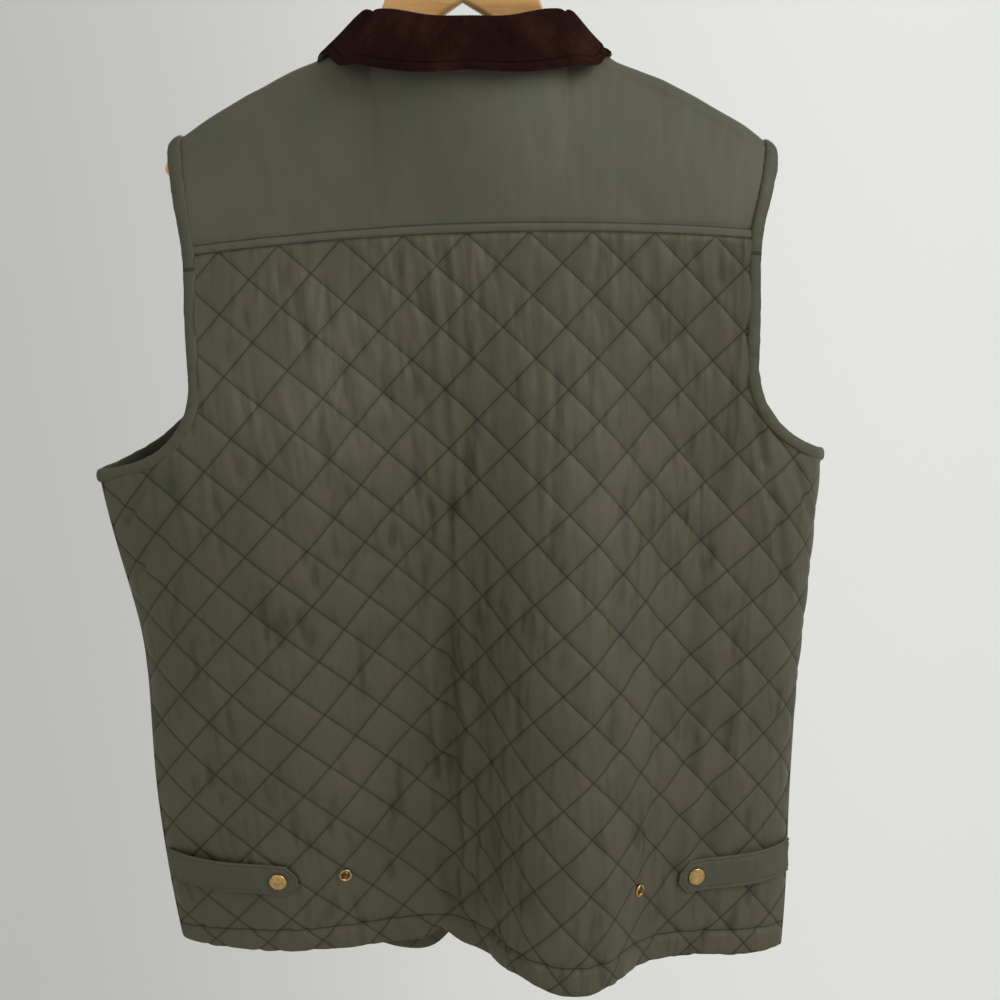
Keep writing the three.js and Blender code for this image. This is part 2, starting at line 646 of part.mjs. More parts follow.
// The binding round an armhole: a flat tube that goes on from the panels' edges.
const BINDING_SECTION = [
  { out: 0, high: 0.5 },
  { out: 0.45, high: 0.75 },
  { out: 0.85, high: 0.45 },
  { out: 1, high: 0 },
  { out: 0.85, high: -0.45 },
  { out: 0, high: -0.5 },
];
const BINDING_GAP = 0.5;
const SHOULDER_BINDING_GAP = 1.2;
const BINDING_IN = 0.15; // the share of its thickness that the binding's middle lies inside
const BINDING_START = 12; // the first two levels below the yoke seam that it passes
const BINDING_NEXT = 45;
const OVER_SHOULDER = [0.98, 0.94, 0.9, 0.86, 0.82, 0.78, 0.72, 0.6, 0.45, 0.3, 0.1];
function binding(sign) {
  const rings = [];
  const section = (edge, outward, at, gap = BINDING_GAP) => {
    rings.push(
      BINDING_SECTION.map((p) => {
        const reach = mix(gap, BINDING, p.out);
        const high = (p.high - BINDING_IN) * BINDING_THICK;
        return at(edge.x + outward.x * reach, edge.y + outward.y * reach, high);
      }),
    );
  };
  const outwardOf = (path, k) => {
    const a = path[Math.max(k - 1, 0)];
    const b = path[Math.min(k + 1, path.length - 1)];
    return new THREE.Vector2(b.y - a.y, a.x - b.x).normalize();
  };
  const back = [
    new THREE.Vector2(YOKE_HALF, BINDING_START),
    new THREE.Vector2(YOKE_HALF, BINDING_NEXT),
    ...armhole(YOKE_HALF),
  ];
  back.slice(0, -1).forEach((edge, k) =>
    section(edge, outwardOf(back, k), (a, b, h) => offBack(sign * a, b, h)),
  );
  const front = [
    ...[0.75, 0.5, 0.25, 0].map((q) => upperArmhole(sign, q)),
    new THREE.Vector2(FRONT_INNER, BINDING_NEXT),
    ...armhole(FRONT_INNER),
  ];
  for (let k = front.length - 2; k >= 0; k--)
    section(front[k], outwardOf(front, k), (a, b, h) => offFront(sign * a, b, h));
  for (const up of OVER_SHOULDER)
    section(
      new THREE.Vector2(YOKE_HALF, 0),
      new THREE.Vector2(1, 0),
      (a, b, h) => offYoke(sign * a, up, h),
      SHOULDER_BINDING_GAP,
    );
  return facingOut(loft(rings, true));
}

// A strip that lies on a drape, a way off its points.
function strip(columns, rows, place, lift, thick) {
  return facingOut(
    wall(columns, rows, (i, j) => place(i, j, lift + thick), (i, j) => place(i, j, lift)),
  );
}
const ON_QUILTING = PILLOW + SEAM_GAP;

const PLACKET_ROWS = 32;
const PLACKET_COLUMNS = 4;
const PLACKET_UNDER = 3; // it ends this far under the neck seam
function placket() {
  const top = (across) =>
    Math.max(PLACKET_TOP, neckBelow(Math.sign(across || 1), Math.abs(across)) + PLACKET_UNDER);
  return strip(
    PLACKET_COLUMNS,
    PLACKET_ROWS,
    (i, j, h) => {
      const across = mix(-PLACKET_HALF, PLACKET_HALF, i / PLACKET_COLUMNS);
      return offFront(across, mix(top(across), hemBelow(across), j / PLACKET_ROWS), h);
    },
    ON_QUILTING,
    PLACKET_THICK,
  );
}

const TAB_COLUMNS = 12;
const TAB_ROWS = 4;
function tab(side, sign) {
  return strip(
    TAB_COLUMNS,
    TAB_ROWS,
    (i, j, h) => {
      const q = i / TAB_COLUMNS;
      const v = (2 * j) / TAB_ROWS - 1;
      const point = i === 0 ? TAB_POINT * Math.abs(v) : 0;
      const across = mix(TAB_ENDS[side], TAB_SEAM, q) + point;
      return offBack(sign * across, tabCentre(side, across) + v * TAB_HALF, h);
    },
    ON_QUILTING,
    TAB_THICK,
  );
}
function tabCentre(side, across) {
  const way = (across - TAB_ENDS[side]) / (TAB_SEAM - TAB_ENDS[side]);
  return TAB_BELOW - TAB_RISES[side] * clamp(way, 0, 1);
}

// A round fastener: a lathe profile set on a surface, along its normal.
const ROUND_SIDES = 12;
function fastener(profile, surfaceOff, u, v, lift) {
  const foot = surfaceOff(u, v, lift);
  const axis = surfaceOff(u, v, lift + 1).sub(foot).normalize();
  const geometry = new THREE.LatheGeometry(profile, ROUND_SIDES);
  geometry.applyQuaternion(new THREE.Quaternion().setFromUnitVectors(new THREE.Vector3(0, 1, 0), axis));
  geometry.translate(foot.x, foot.y, foot.z);
  geometry.deleteAttribute("normal");
  geometry.deleteAttribute("uv");
  return facingOut(mergeVertices(geometry, 1e-4));
}
const capProfile = [
  [0, 0],
  [CAP_RADIUS, 0],
  [CAP_RADIUS, CAP_HEIGHT * 0.45],
  [CAP_RADIUS * 0.86, CAP_HEIGHT * 0.85],
  [CAP_RADIUS * 0.45, CAP_HEIGHT],
  [0, CAP_HEIGHT],
].map(([r, h]) => new THREE.Vector2(r, h));
const studProfile = [
  [0, 0],
  [STUD_RADIUS, 0],
  [STUD_RADIUS, STUD_HEIGHT * 0.35],
  [STUD_RADIUS * 0.62, STUD_HEIGHT * 0.35],
  [STUD_RADIUS * 0.42, STUD_HEIGHT],
  [0, STUD_HEIGHT],
].map(([r, h]) => new THREE.Vector2(r, h));

// The neck seam: round is 0 at centre back, 0.5 at the shoulder seams and 1 at centre front.
const INSIDE_NECK = 0.999; // keeps its last column on the neck's side of the shoulder
function neckPoint(round) {
  const sign = Math.sign(round || 1);
  const far = Math.abs(round);
  if (far <= 0.5) {
    const x = SHOULDER_X + sign * NECK_HALF * Math.sin(Math.PI * far) * INSIDE_NECK;
    return yokeSurface(acrossOf(x), 1);
  }
  const across = FRONT_NECK_END * 2 * (1 - far);
  return frontSurface(sign * across, neckBelow(sign, across));
}
// The place along the yoke seam whose column reaches a given X at the neck.
const HALVINGS = 40;
function acrossOf(x) {
  let low = -YOKE_HALF;
  let high = YOKE_HALF;
  for (let k = 0; k < HALVINGS; k++) {
    const middle = (low + high) / 2;
    if (flare(backX(middle, 0)) < x) low = middle;
    else high = middle;
  }
  return (low + high) / 2;
}

// The collar: a stand on the neck seam that folds over into the fall.
const COLLAR_STATIONS = 38;
const COLLAR_SPREAD = 0.05;
const OUTWARD_TURN = 3.3; // how soon the collar faces forward, past the shoulder
const COLLAR_LIFT = 2.4;
const STAND_TOP = 0.8; // how far up the stand starts to roll
const ROLL = [
  { out: 2.2, under: 0 },
  { out: 4.6, under: 1.2 },
];
const FALL_START = { out: 6.5, under: 5 };
const FALL_SHARES = [0.25, 0.6, 1];
function collar() {
  const rings = [];
  for (let k = 0; k <= COLLAR_STATIONS; k++) {
    const round = mix(-COLLAR_FRONT, COLLAR_FRONT, k / COLLAR_STATIONS);
    const far = Math.abs(round);
    const turn = far < 0.5 ? far : Math.min(0.5 + (far - 0.5) * OUTWARD_TURN, 1);
    const side = Math.sign(round);
    const outward = new THREE.Vector3(side * Math.sin(Math.PI * turn), Math.cos(Math.PI * turn), 0);
    const tangent = neckPoint(clamp(round + COLLAR_SPREAD, -1, 1))
      .sub(neckPoint(clamp(round - COLLAR_SPREAD, -1, 1)))
      .normalize();
    outward.addScaledVector(tangent, -outward.dot(tangent)).normalize();
    const upward = outward.clone().cross(tangent).normalize();
    if (upward.z < 0) upward.negate();
    const reach = along(COLLAR_SECTIONS, "reach", far, "round");
    const drop = along(COLLAR_SECTIONS, "drop", far, "round");
    const line = [
      [0, COLLAR_LIFT],
      [0, COLLAR_STAND * STAND_TOP],
      ...ROLL.map((p) => [p.out, COLLAR_STAND - p.under]),
      ...FALL_SHARES.map((q) => [
        mix(FALL_START.out, reach, q),
        mix(COLLAR_STAND - FALL_START.under, -drop, q),
      ]),
    ].map(([r, h]) => new THREE.Vector2(r, h));
    const seam = neckPoint(round);
    const faces = [1, -1].map((face) =>
      line.map((p, i) => {
        const a = line[Math.max(i - 1, 0)];
        const b = line[Math.min(i + 1, line.length - 1)];
        const normal = new THREE.Vector2(-(b.y - a.y), b.x - a.x).normalize();
        const q = p.clone().addScaledVector(normal, (face * COLLAR_THICK) / 2);
        return seam.clone().addScaledVector(outward, q.x).addScaledVector(upward, q.y);
      }),
    );
    rings.push([...faces[0], ...faces[1].reverse()]);
  }
  return facingOut(loft(rings, false));
}

// The hanger's wood: a hump at the neck and two straight arms under the shoulders, lofted
// through rounded sections from tip to tip.
const TIP_LEAST = 0.3; // the share of the section that is left at the tip
const armTop = (place) => ridge(place) - ARM_CLEAR;
function hangerWood() {
  const rings = [];
  const outs = [...WOOD_STATIONS].reverse().map((out) => -out).concat(WOOD_STATIONS.slice(1));
  for (const place of outs) {
    const out = Math.abs(place);
    const last = HUMP.at(-1).out;
    const top = out < last ? along(HUMP, "top", out, "out") : armTop(place);
    const armLow = armTop(Math.sign(place) * Math.max(out, last)) - ARM_TALL;
    const low = out < last ? mix(VEE_Z, armLow, out / last) : armLow;
    const overTip = Math.max(out - ARM_END + TIP_ROUND, 0) / TIP_ROUND;
    const round = Math.sqrt(Math.max(1 - overTip ** 2, TIP_LEAST ** 2));
    const middle = (top + low) / 2;
    const tall = ((top - low) / 2) * round;
    const half = (ARM_THICK / 2) * Math.sqrt(round);
    const bevel = Math.min(WOOD_BEVEL, tall, half);
    const ring = [];
    for (const [sy, sz] of [[1, 1], [-1, 1], [-1, -1], [1, -1]]) {
      const corner = [0, 1, 2].map((k) => (k * Math.PI) / 4);
      if (sy * sz < 0) corner.reverse();
      for (const angle of corner)
        ring.push(
          new THREE.Vector3(
            place,
            sy * (half - bevel + bevel * Math.cos(angle)),
            middle + sz * (tall - bevel + bevel * Math.sin(angle)),
          ),
        );
    }
    rings.push(ring);
  }
  return facingOut(loft(rings, false));
}

function bare(geometry) {
  const plain = geometry.index ? geometry.toNonIndexed() : geometry;
  plain.deleteAttribute("normal");
  plain.deleteAttribute("uv");
  return plain;
}

// The hook: round wire, over a rod that would lie along Y.
const HOOK_FROM = 205; // degrees round its circle, from the free end to the shank
const HOOK_TO = -40;
const HOOK_TURN = 17.5;
const SHANK = [
  { x: 4, z: -50 },
  { x: 0, z: -58 },
  { x: -1, z: HANGER_TOP + SEAM_GAP + 0.1 },
];
const HOOK_STEPS = 30;
const HOOK_SIDES = 8;
function hangerHook() {
  const radius = HOOK_INSIDE + HOOK_WIRE;
  const points = [];
  for (let degrees = HOOK_FROM; degrees >= HOOK_TO; degrees -= HOOK_TURN) {
    const angle = THREE.MathUtils.degToRad(degrees);
    const z = -HOOK_INSIDE + radius * Math.sin(angle);
    points.push(new THREE.Vector3(radius * Math.cos(angle), 0, z));
  }
  for (const { x, z } of SHANK) points.push(new THREE.Vector3(x, 0, z));
  const wire = new THREE.Shape();
  wire.absarc(0, 0, HOOK_WIRE, 0, 2 * Math.PI);
  const geometry = new THREE.ExtrudeGeometry(wire, {
    steps: HOOK_STEPS,
    curveSegments: HOOK_SIDES / 2,
    extrudePath: new THREE.CatmullRomCurve3(points),
    bevelEnabled: false,
  });
  return facingOut(mergeVertices(bare(geometry), 1e-4));
}

const shell = new THREE.MeshStandardMaterial({ color: 0x4b4b3c, roughness: 0.55 });
const corduroy = new THREE.MeshStandardMaterial({ color: 0x33201d, roughness: 0.95 });
const brass = new THREE.MeshStandardMaterial({ color: 0xb8935a, roughness: 0.35, metalness: 0.9 });
const wood = new THREE.MeshStandardMaterial({ color: 0xcb9a58, roughness: 0.5 });
const steel = new THREE.MeshStandardMaterial({ color: 0xb9bcc0, roughness: 0.3, metalness: 0.9 });

const vest = new THREE.Group();
function add(name, geometry, material) {
  const mesh = new THREE.Mesh(geometry, material);
  mesh.name = name;
  vest.add(mesh);
}

add("hanger_wood", hangerWood(), wood);
add("hanger_hook", hangerHook(), steel);
add("back_yoke", yoke(), shell);
add("back_panel", panel(backOutline(), offBack, true), shell);
add("front_left", panel(frontOutline(1), offFront, false), shell);
add("front_right", panel(frontOutline(-1), offFront, false), shell);
add("collar", collar(), corduroy);
add("placket", placket(), shell);
for (const [side, sign] of [["left", 1], ["right", -1]]) {
  add("armhole_binding_" + side, binding(sign), shell);
  add("tab_" + side, tab(side, sign), shell);
  const cap = TAB_ENDS[side] + CAP_IN;
  const capLift = ON_QUILTING + TAB_THICK + SEAM_GAP;
  add("tab_cap_" + side, fastener(capProfile, offBack, sign * cap, tabCentre(side, cap), capLift), brass);
  add("stud_" + side, fastener(studProfile, offBack, sign * STUD_AT, TAB_BELOW, ON_QUILTING), brass);
}
for (let k = 0; k < FRONT_SNAPS; k++) {
  const below = mix(FRONT_SNAP_FIRST, FRONT_SNAP_LAST, k / (FRONT_SNAPS - 1));
  const lift = ON_QUILTING + PLACKET_THICK + SEAM_GAP;
  add("front_cap_" + (k + 1), fastener(capProfile, offFront, 0, below, lift), brass);
}

export default vest;
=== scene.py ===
"""A diamond-quilted vest with a corduroy collar, seen from behind on its wooden hanger."""

import math

import bpy
import numpy as np
from mathutils import Matrix, Vector


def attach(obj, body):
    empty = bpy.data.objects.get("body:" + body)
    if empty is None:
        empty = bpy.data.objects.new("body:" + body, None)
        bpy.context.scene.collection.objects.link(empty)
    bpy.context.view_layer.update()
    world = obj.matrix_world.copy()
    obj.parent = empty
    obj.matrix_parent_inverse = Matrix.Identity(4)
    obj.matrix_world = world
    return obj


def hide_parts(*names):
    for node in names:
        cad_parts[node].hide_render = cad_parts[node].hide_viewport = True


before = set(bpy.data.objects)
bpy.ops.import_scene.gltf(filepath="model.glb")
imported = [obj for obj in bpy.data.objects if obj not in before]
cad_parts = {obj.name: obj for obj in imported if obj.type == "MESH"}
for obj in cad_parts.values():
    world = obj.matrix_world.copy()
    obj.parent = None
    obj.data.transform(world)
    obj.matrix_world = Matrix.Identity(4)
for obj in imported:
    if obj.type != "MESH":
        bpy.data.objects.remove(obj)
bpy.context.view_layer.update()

MM = 0.001
SIDES = {1: "left", -1: "right"}

# Camera: behind the vest, a little above its middle and tilted down
CAMERA_AT = Vector((-0.027, 1.061, -0.255))
CAMERA_DOWN = math.radians(12.0)
LENS = 50.4
FILM_WIDTH = 36.0
SIGHT_END = 20.0
camera = bpy.data.objects.new("camera", bpy.data.cameras.new("camera"))
bpy.context.scene.collection.objects.link(camera)
camera.data.lens = LENS
camera.data.sensor_width = FILM_WIDTH
camera.data.clip_end = SIGHT_END
forward = Vector((0, -math.cos(CAMERA_DOWN), -math.sin(CAMERA_DOWN)))
upward = Vector((0, -math.sin(CAMERA_DOWN), math.cos(CAMERA_DOWN)))
turn = Matrix((forward.cross(upward), upward, -forward)).transposed()
camera.matrix_world = Matrix.Translation(CAMERA_AT) @ turn.to_4x4()
bpy.context.scene.camera = camera

# Cloth, in millimetres
WALL = 2.2
PILLOW = 1.7
SEAM_GAP = 0.3
QUILT = 22.5
QUILT_CENTRE = 4.0
ON_QUILTING = PILLOW + SEAM_GAP

# Cut of the body along the cloth; "below" is measured down from the yoke seam
YOKE_HALF = 203.0
CHEST_HALF = 293.0
HEM_HALF = 285.0
UNDERARM = 158.0
ARMHOLE_STRAIGHT = 85.0
ARMHOLE_POWER = 2.3
FRONT_INNER = YOKE_HALF - 10.0
BACK_LENGTH = 573.0
FRONT_DROP = 31.0
HEM_CORNER = 11.0
HEM_CORNER_WIDTH = 35.0
FRONT_LIFT = 20.0
FRONT_LIFT_AT = 14.0
FRONT_LIFT_WIDTH = 20.0
HEM_LIFTS = ((64, 11, 10.0), (-32, 22, 6.5))  # across, width and lift
FRONT_EDGE = 3.8
BINDING = 8.0
BINDING_THICK = 3.4
BINDING_LAP = 0.8
BINDING_IN = 0.1
HEM_STITCH = 22.0  # the hem's topstitch, above its edge
YOKE_STITCH = 6.6

# Shoulders and neck
SHOULDER_X = -5.0
SHOULDER_PEAK = -154.0
SHOULDER_PEAK_HALF = 107.0
SHOULDER_SLOPE = 0.56
SHOULDER_BOW = 7.0
SHOULDER_BOW_AT = 175.0
SHOULDER_BOW_HALF = 68.0
SHOULDER_HALF = 216.0
RIDGE = 11.0
NECK_HALF = 76.0
NECK_BACK_Y = 48.0
NECK_BACK_Z = -150.0
NECK_FRONT_DROP = 68.0
SHOULDER_GAP = 0.9
FRONT_NECK_END = NECK_HALF * YOKE_HALF / SHOULDER_HALF

# Heights
SEAM_Z = -276.0
SAG_TOP = 10.0
SAG_HEM = 7.0
SAG_AT = 200.0
SEAM_TILT = 0.03
TILT_FADE = 200.0
FALL = 0.986
YOKE_BOW = 4.0
NECK_SPREAD = 62.0


def table(columns, *rows):
    return [dict(zip(columns.split(), row)) for row in rows]


# Levels of the back and the front: how far out each form stands at each, and where each fold lies
BACK_SECTIONS = table(
    "below centreX left right bulge crest valley hollow turnLeft turnRight",
    (0, -7, 20, 20, 28, 0, 0, 0, 12, 26),
    (145, -15, 60, 19, 66, -18, 50, 37, 0, 37),
    (290, -18, 39, 20, 70, 9, 65, 31, 10, 31),
    (435, -24, 35, 18, 45, 39, 57, 17, 10, 31),
    (569, -28, 12, 35, 34, 60, 48, 23, 5, 27),
)
BACK_FOLDS = table(
    "depth sign at left right",
    ("crest", 1, -70, 80, 62),
    ("valley", -1, 47, 62, 62),
    ("hollow", -1, -159, 52, 52),
)
TURN_LEFT_WIDTH = 24.0
TURN_RIGHT_WIDTH = 48.0
FRONT_SECTIONS = table(
    "below plane belly drawIn leftFold rightFold",
    (0, -26, 10, 0, 0, 0),
    (145, -32, 16, 0, 5, 3),
    (290, -38, 12, 4, 12, 9),
    (435, -40, 6, 14, 17, 15),
    (569, -42, 0, 26, 20, 20),
)
FRONT_FOLDS = table(
    "depth sign at left right",
    ("drawIn", 1, 62, 46, 40),
    ("leftFold", -1, 160, 34, 34),
    ("rightFold", -1, -120, 38, 34),
)
STEEPEST = 0.85
WRAP_LEAST = 22.0


def mix(a, b, q):
    return a + (b - a) * q


def smooth(q):
    return q * q * (3 - 2 * q)


def eased(value, start, end):
    return smooth(np.clip((value - start) / (end - start), 0, 1))


def bell(off, width):
    """1 where off is nothing, falling away on both sides."""
    return np.exp(-((off / width) ** 2))


def fading(distance, length):
    """1 up to a line, and less with the distance past it."""
    return np.exp(-np.maximum(distance, 0) / length)


def unit(vectors):
    return vectors / np.linalg.norm(vectors, axis=-1, keepdims=True)


def run_along(path):
    """The length along a row of points, from 0 at its first."""
    return np.concatenate([[0], np.cumsum(np.linalg.norm(np.diff(path, axis=0), axis=-1))])


def along(rows, column, value, key="below"):
    """A column of a table of levels, joined by a smooth curve."""
    keys = np.array([row[key] for row in rows], float)
    values = np.array([row[column] for row in rows], float)
    value = np.asarray(value, float)
    k = np.searchsorted(keys[1:-1], value, side="left")
    before = np.maximum(np.arange(len(keys)) - 1, 0)
    after = np.minimum(np.arange(len(keys)) + 1, len(keys) - 1)
    slope = (values[after] - values[before]) / (keys[after] - keys[before])
    span = keys[k + 1] - keys[k]
    q = np.clip((value - keys[k]) / span, 0, 1.1)
    return (
        (2 * q**3 - 3 * q**2 + 1) * values[k]
        + (q**3 - 2 * q**2 + q) * span * slope[k]
        + (3 * q**2 - 2 * q**3) * values[k + 1]
        + (q**3 - q**2) * span * slope[k + 1]
    )


def folds_at(rows, folds, across, below):
    total = 0
    for fold in folds:
        off = across - fold["at"]
        width = np.where(off > 0, fold["left"], fold["right"])
        total = total + fold["sign"] * along(rows, fold["depth"], below) * np.exp(-0.5 * (off / width) ** 2)
    return total


def half_width(below):
    return mix(CHEST_HALF, HEM_HALF, np.clip((below - UNDERARM) / (BACK_LENGTH - UNDERARM), 0, 1.05))


def seam_height(across):
    return SEAM_Z - SEAM_TILT * across - SAG_TOP * (across / SAG_AT) ** 2


def height(across, below):
    sag = mix(SAG_TOP, SAG_HEM, np.clip(below / BACK_LENGTH, 0, 1))
    tilt = SEAM_TILT * (1 - smooth(np.clip(below / TILT_FADE, 0, 1)))
    return SEAM_Z - tilt * across - sag * (across / SAG_AT) ** 2 - FALL * below


def back_depth(across, level):
    below = np.maximum(level, 0)
    half = half_width(below)
    side = across / half
    sides = mix(
        along(BACK_SECTIONS, "right", below), along(BACK_SECTIONS, "left", below), (1 + side) / 2
    )
    return (
        sides
        + along(BACK_SECTIONS, "bulge", below) * (1 - side**2)
        + folds_at(BACK_SECTIONS, BACK_FOLDS, across, below)
        - along(BACK_SECTIONS, "turnLeft", below) * fading(half - across, TURN_LEFT_WIDTH)
        - along(BACK_SECTIONS, "turnRight", below) * fading(half + across, TURN_RIGHT_WIDTH)
    )


def front_depth(across, level):
    below = np.maximum(level, 0)
    half = half_width(below)

    def flat(s):
        belly = along(FRONT_SECTIONS, "belly", below) * (1 - (s / half) ** 2)
        plane = along(FRONT_SECTIONS, "plane", below)
        return plane - belly + folds_at(FRONT_SECTIONS, FRONT_FOLDS, s, below)

    depth = flat(across)
    for sign in (1, -1):
        seam = sign * half
        wrap = (back_depth(seam, below) - flat(seam)) * smooth(np.clip(below / UNDERARM, 0, 1))
        width = np.maximum(np.abs(wrap) / STEEPEST, WRAP_LEAST)
        depth = depth + wrap * fading(half - sign * across, width)
    return depth


TABLE_STEP = 5.0
TABLE_HALF = 310.0
LEVEL_STEP = 12.0
LEVELS = math.ceil((BACK_LENGTH + 40) / LEVEL_STEP)
LEAST_RUN = 0.06


def across_table(depth):
    """X across a drape: the cloth's length is kept as it goes in and out of the folds."""
    steps = round(2 * TABLE_HALF / TABLE_STEP)
    s, t = np.meshgrid(
        -TABLE_HALF + TABLE_STEP * np.arange(steps + 1), LEVEL_STEP * np.arange(LEVELS + 1)
    )
    slope = np.diff(depth(s, t), axis=1) / TABLE_STEP
    drop = np.diff(height(s, t), axis=1) / TABLE_STEP
    run = TABLE_STEP * np.sqrt(np.maximum(1 - slope**2 - drop**2, LEAST_RUN))
    table = np.concatenate([np.zeros((LEVELS + 1, 1)), np.cumsum(run, axis=1)], axis=1)

    def look(across, level):
        across, level = np.broadcast_arrays(np.asarray(across, float), np.asarray(level, float))
        k = np.clip(level / LEVEL_STEP, 0, LEVELS - 1e-6)
        i = np.clip((across + TABLE_HALF) / TABLE_STEP, 0, steps - 1e-6)
        k0, i0 = k.astype(int), i.astype(int)
        high = mix(table[k0, i0], table[k0, i0 + 1], i - i0)
        low = mix(table[k0 + 1, i0], table[k0 + 1, i0 + 1], i - i0)
        return mix(high, low, k - k0)

    return look


back_across = across_table(back_depth)
front_across = across_table(front_depth)


def back_x(across, below):
    centre = along(BACK_SECTIONS, "centreX", np.maximum(below, 0))
    return centre + back_across(across, below) - back_across(0, below)


def front_x(across, below):
    half = half_width(below)
    start = front_across(-half, below)
    q = (front_across(across, below) - start) / (front_across(half, below) - start)
    return mix(back_x(-half, below), back_x(half, below), q)


def ridge(x):
    out = np.abs(x - SHOULDER_X)
    bow = SHOULDER_BOW * np.maximum(1 - ((out - SHOULDER_BOW_AT) / SHOULDER_BOW_HALF) ** 2, 0)
    return SHOULDER_PEAK - SHOULDER_SLOPE * (out - SHOULDER_PEAK_HALF) + bow


def flare(x):
    return SHOULDER_X + (x - SHOULDER_X) * (SHOULDER_HALF / YOKE_HALF)


def points(x, y, z):
    return np.stack(np.broadcast_arrays(x, y, z), axis=-1)


def back_surface(across, below):
    return points(back_x(across, below), back_depth(across, below), height(across, below))


def front_surface(across, below):
    low = front_x(across, below)
    depth = front_depth(across, below)
    seam = seam_height(across)
    top = ridge(flare(low)) - RIDGE
    above = np.minimum(below, 0)
    z = seam - FALL * above
    rise = np.clip((z - seam) / (top - seam), 0, 1.2)
    z = np.where(np.asarray(below) >= 0, height(across, below), z)
    return points(mix(low, flare(low), rise), mix(depth, -RIDGE, smooth(np.minimum(rise, 1))), z)


def shoulder_below(across):
    return -(ridge(flare(front_x(across, 0.0))) - RIDGE - seam_height(across)) / FALL


def neck_below(sign, across):
    drop = NECK_FRONT_DROP / FALL * np.sin(math.pi / 2 * (1 - across / FRONT_NECK_END))
    return shoulder_below(sign * FRONT_NECK_END) + SHOULDER_GAP + drop


def hem_corner(across):
    """How far the hem is drawn up at its left corner."""
    return HEM_CORNER * fading(HEM_HALF - across, HEM_CORNER_WIDTH)


def hem_below(across):
    drop = FRONT_DROP * smooth(1 - np.clip(np.abs(across) / HEM_HALF, 0, 1))
    lift = FRONT_LIFT * bell(across - FRONT_LIFT_AT, FRONT_LIFT_WIDTH)
    return BACK_LENGTH + drop - lift - hem_corner(across)


def yoke_column(across):
    foot = back_surface(across, np.zeros_like(across))
    x = flare(foot[..., 0])
    in_neck = np.abs(x - SHOULDER_X) < NECK_HALF
    round_neck = np.sqrt(np.maximum(1 - ((x - SHOULDER_X) / NECK_HALF) ** 2, 0))
    edge_y = np.where(in_neck, -RIDGE + (NECK_BACK_Y + RIDGE) * round_neck, -RIDGE)
    bend_z = ridge(x) - RIDGE
    q = smooth(np.clip((edge_y - RIDGE) / (NECK_BACK_Y - RIDGE), 0, 1))
    over = edge_y > RIDGE
    bend_y = np.where(over, edge_y, RIDGE)
    bend_high = np.where(over, mix(bend_z, NECK_BACK_Z, q), bend_z)
    turned = np.where(over, 0, np.arccos(np.clip(edge_y / RIDGE, -1, 1)))
    flat = np.hypot(bend_y - foot[..., 1], bend_high - foot[..., 2])
    return foot, x, bend_y, bend_high, bend_z, turned, flat


def yoke_surface(across, up):
    across, up = np.broadcast_arrays(np.asarray(across, float), np.asarray(up, float))
    foot, x, bend_y, bend_high, bend_z, turned, flat = yoke_column(across)
    way = up * (flat + turned * RIDGE)
    q = np.minimum(way / flat, 1)
    swell = bell(x - SHOULDER_X, NECK_SPREAD)
    kink = bend_y - mix(RIDGE, NECK_BACK_Y, swell)
    straight = points(
        mix(foot[..., 0], x, q),
        mix(foot[..., 1], bend_y, q) + YOKE_BOW * np.sin(math.pi * q) - kink * (q - q**3),
        mix(foot[..., 2], bend_high, q),
    )
    angle = (way - flat) / RIDGE
    turning = points(x, RIDGE * np.cos(angle), bend_z + RIDGE * np.sin(angle))
    return np.where((way <= flat)[..., None], straight, turning)


def yoke_length(across):
    *_, turned, flat = yoke_column(across)
    return flat + turned * RIDGE


NORMAL_STEP = 1.5
UP_STEP = 0.012


def normal_at(surface, u, v, step_v, facing):
    one = surface(u + NORMAL_STEP, v) - surface(u - NORMAL_STEP, v)
    two = surface(u, v + step_v) - surface(u, v - step_v)
    return facing * unit(np.cross(one, two))


def off_surface(surface, facing, step_v, low=-math.inf, high=math.inf):
    """Makes the function that places points at a distance out from a surface."""

    def place(u, v, out):
        u, v, out = np.broadcast_arrays(*(np.asarray(one, float) for one in (u, v, out)))
        normal = normal_at(surface, u, np.clip(v, low, high), step_v, facing)
        return surface(u, v) + normal * out[..., None]

    return place


off_back = off_surface(back_surface, 1, NORMAL_STEP)
off_front = off_surface(front_surface, -1, NORMAL_STEP)
off_yoke = off_surface(yoke_surface, -1, UP_STEP, UP_STEP, 1 - UP_STEP)


def lattice(i, j, seed):
    """A steady random value from 0 to 1 for each whole-number place."""
    n = (i * 374761393 + j * 668265263 + seed * 974711) & 0x7FFFFFFF
    n = ((n ^ (n >> 13)) * 1274126177) & 0x7FFFFFFF
    return ((n ^ (n >> 16)) & 0xFFFF) / 0xFFFF


def noise(x, y, seed):
    """Smooth noise from -1 to 1, about one feature a unit."""
    x, y = np.broadcast_arrays(np.asarray(x, float), np.asarray(y, float))
    i, j = np.floor(x).astype(np.int64), np.floor(y).astype(np.int64)
    p, q = smooth(x - i), smooth(y - j)
    high = mix(lattice(i, j, seed), lattice(i + 1, j, seed), p)
    low = mix(lattice(i, j + 1, seed), lattice(i + 1, j + 1, seed), p)
    return 2 * mix(high, low, q) - 1


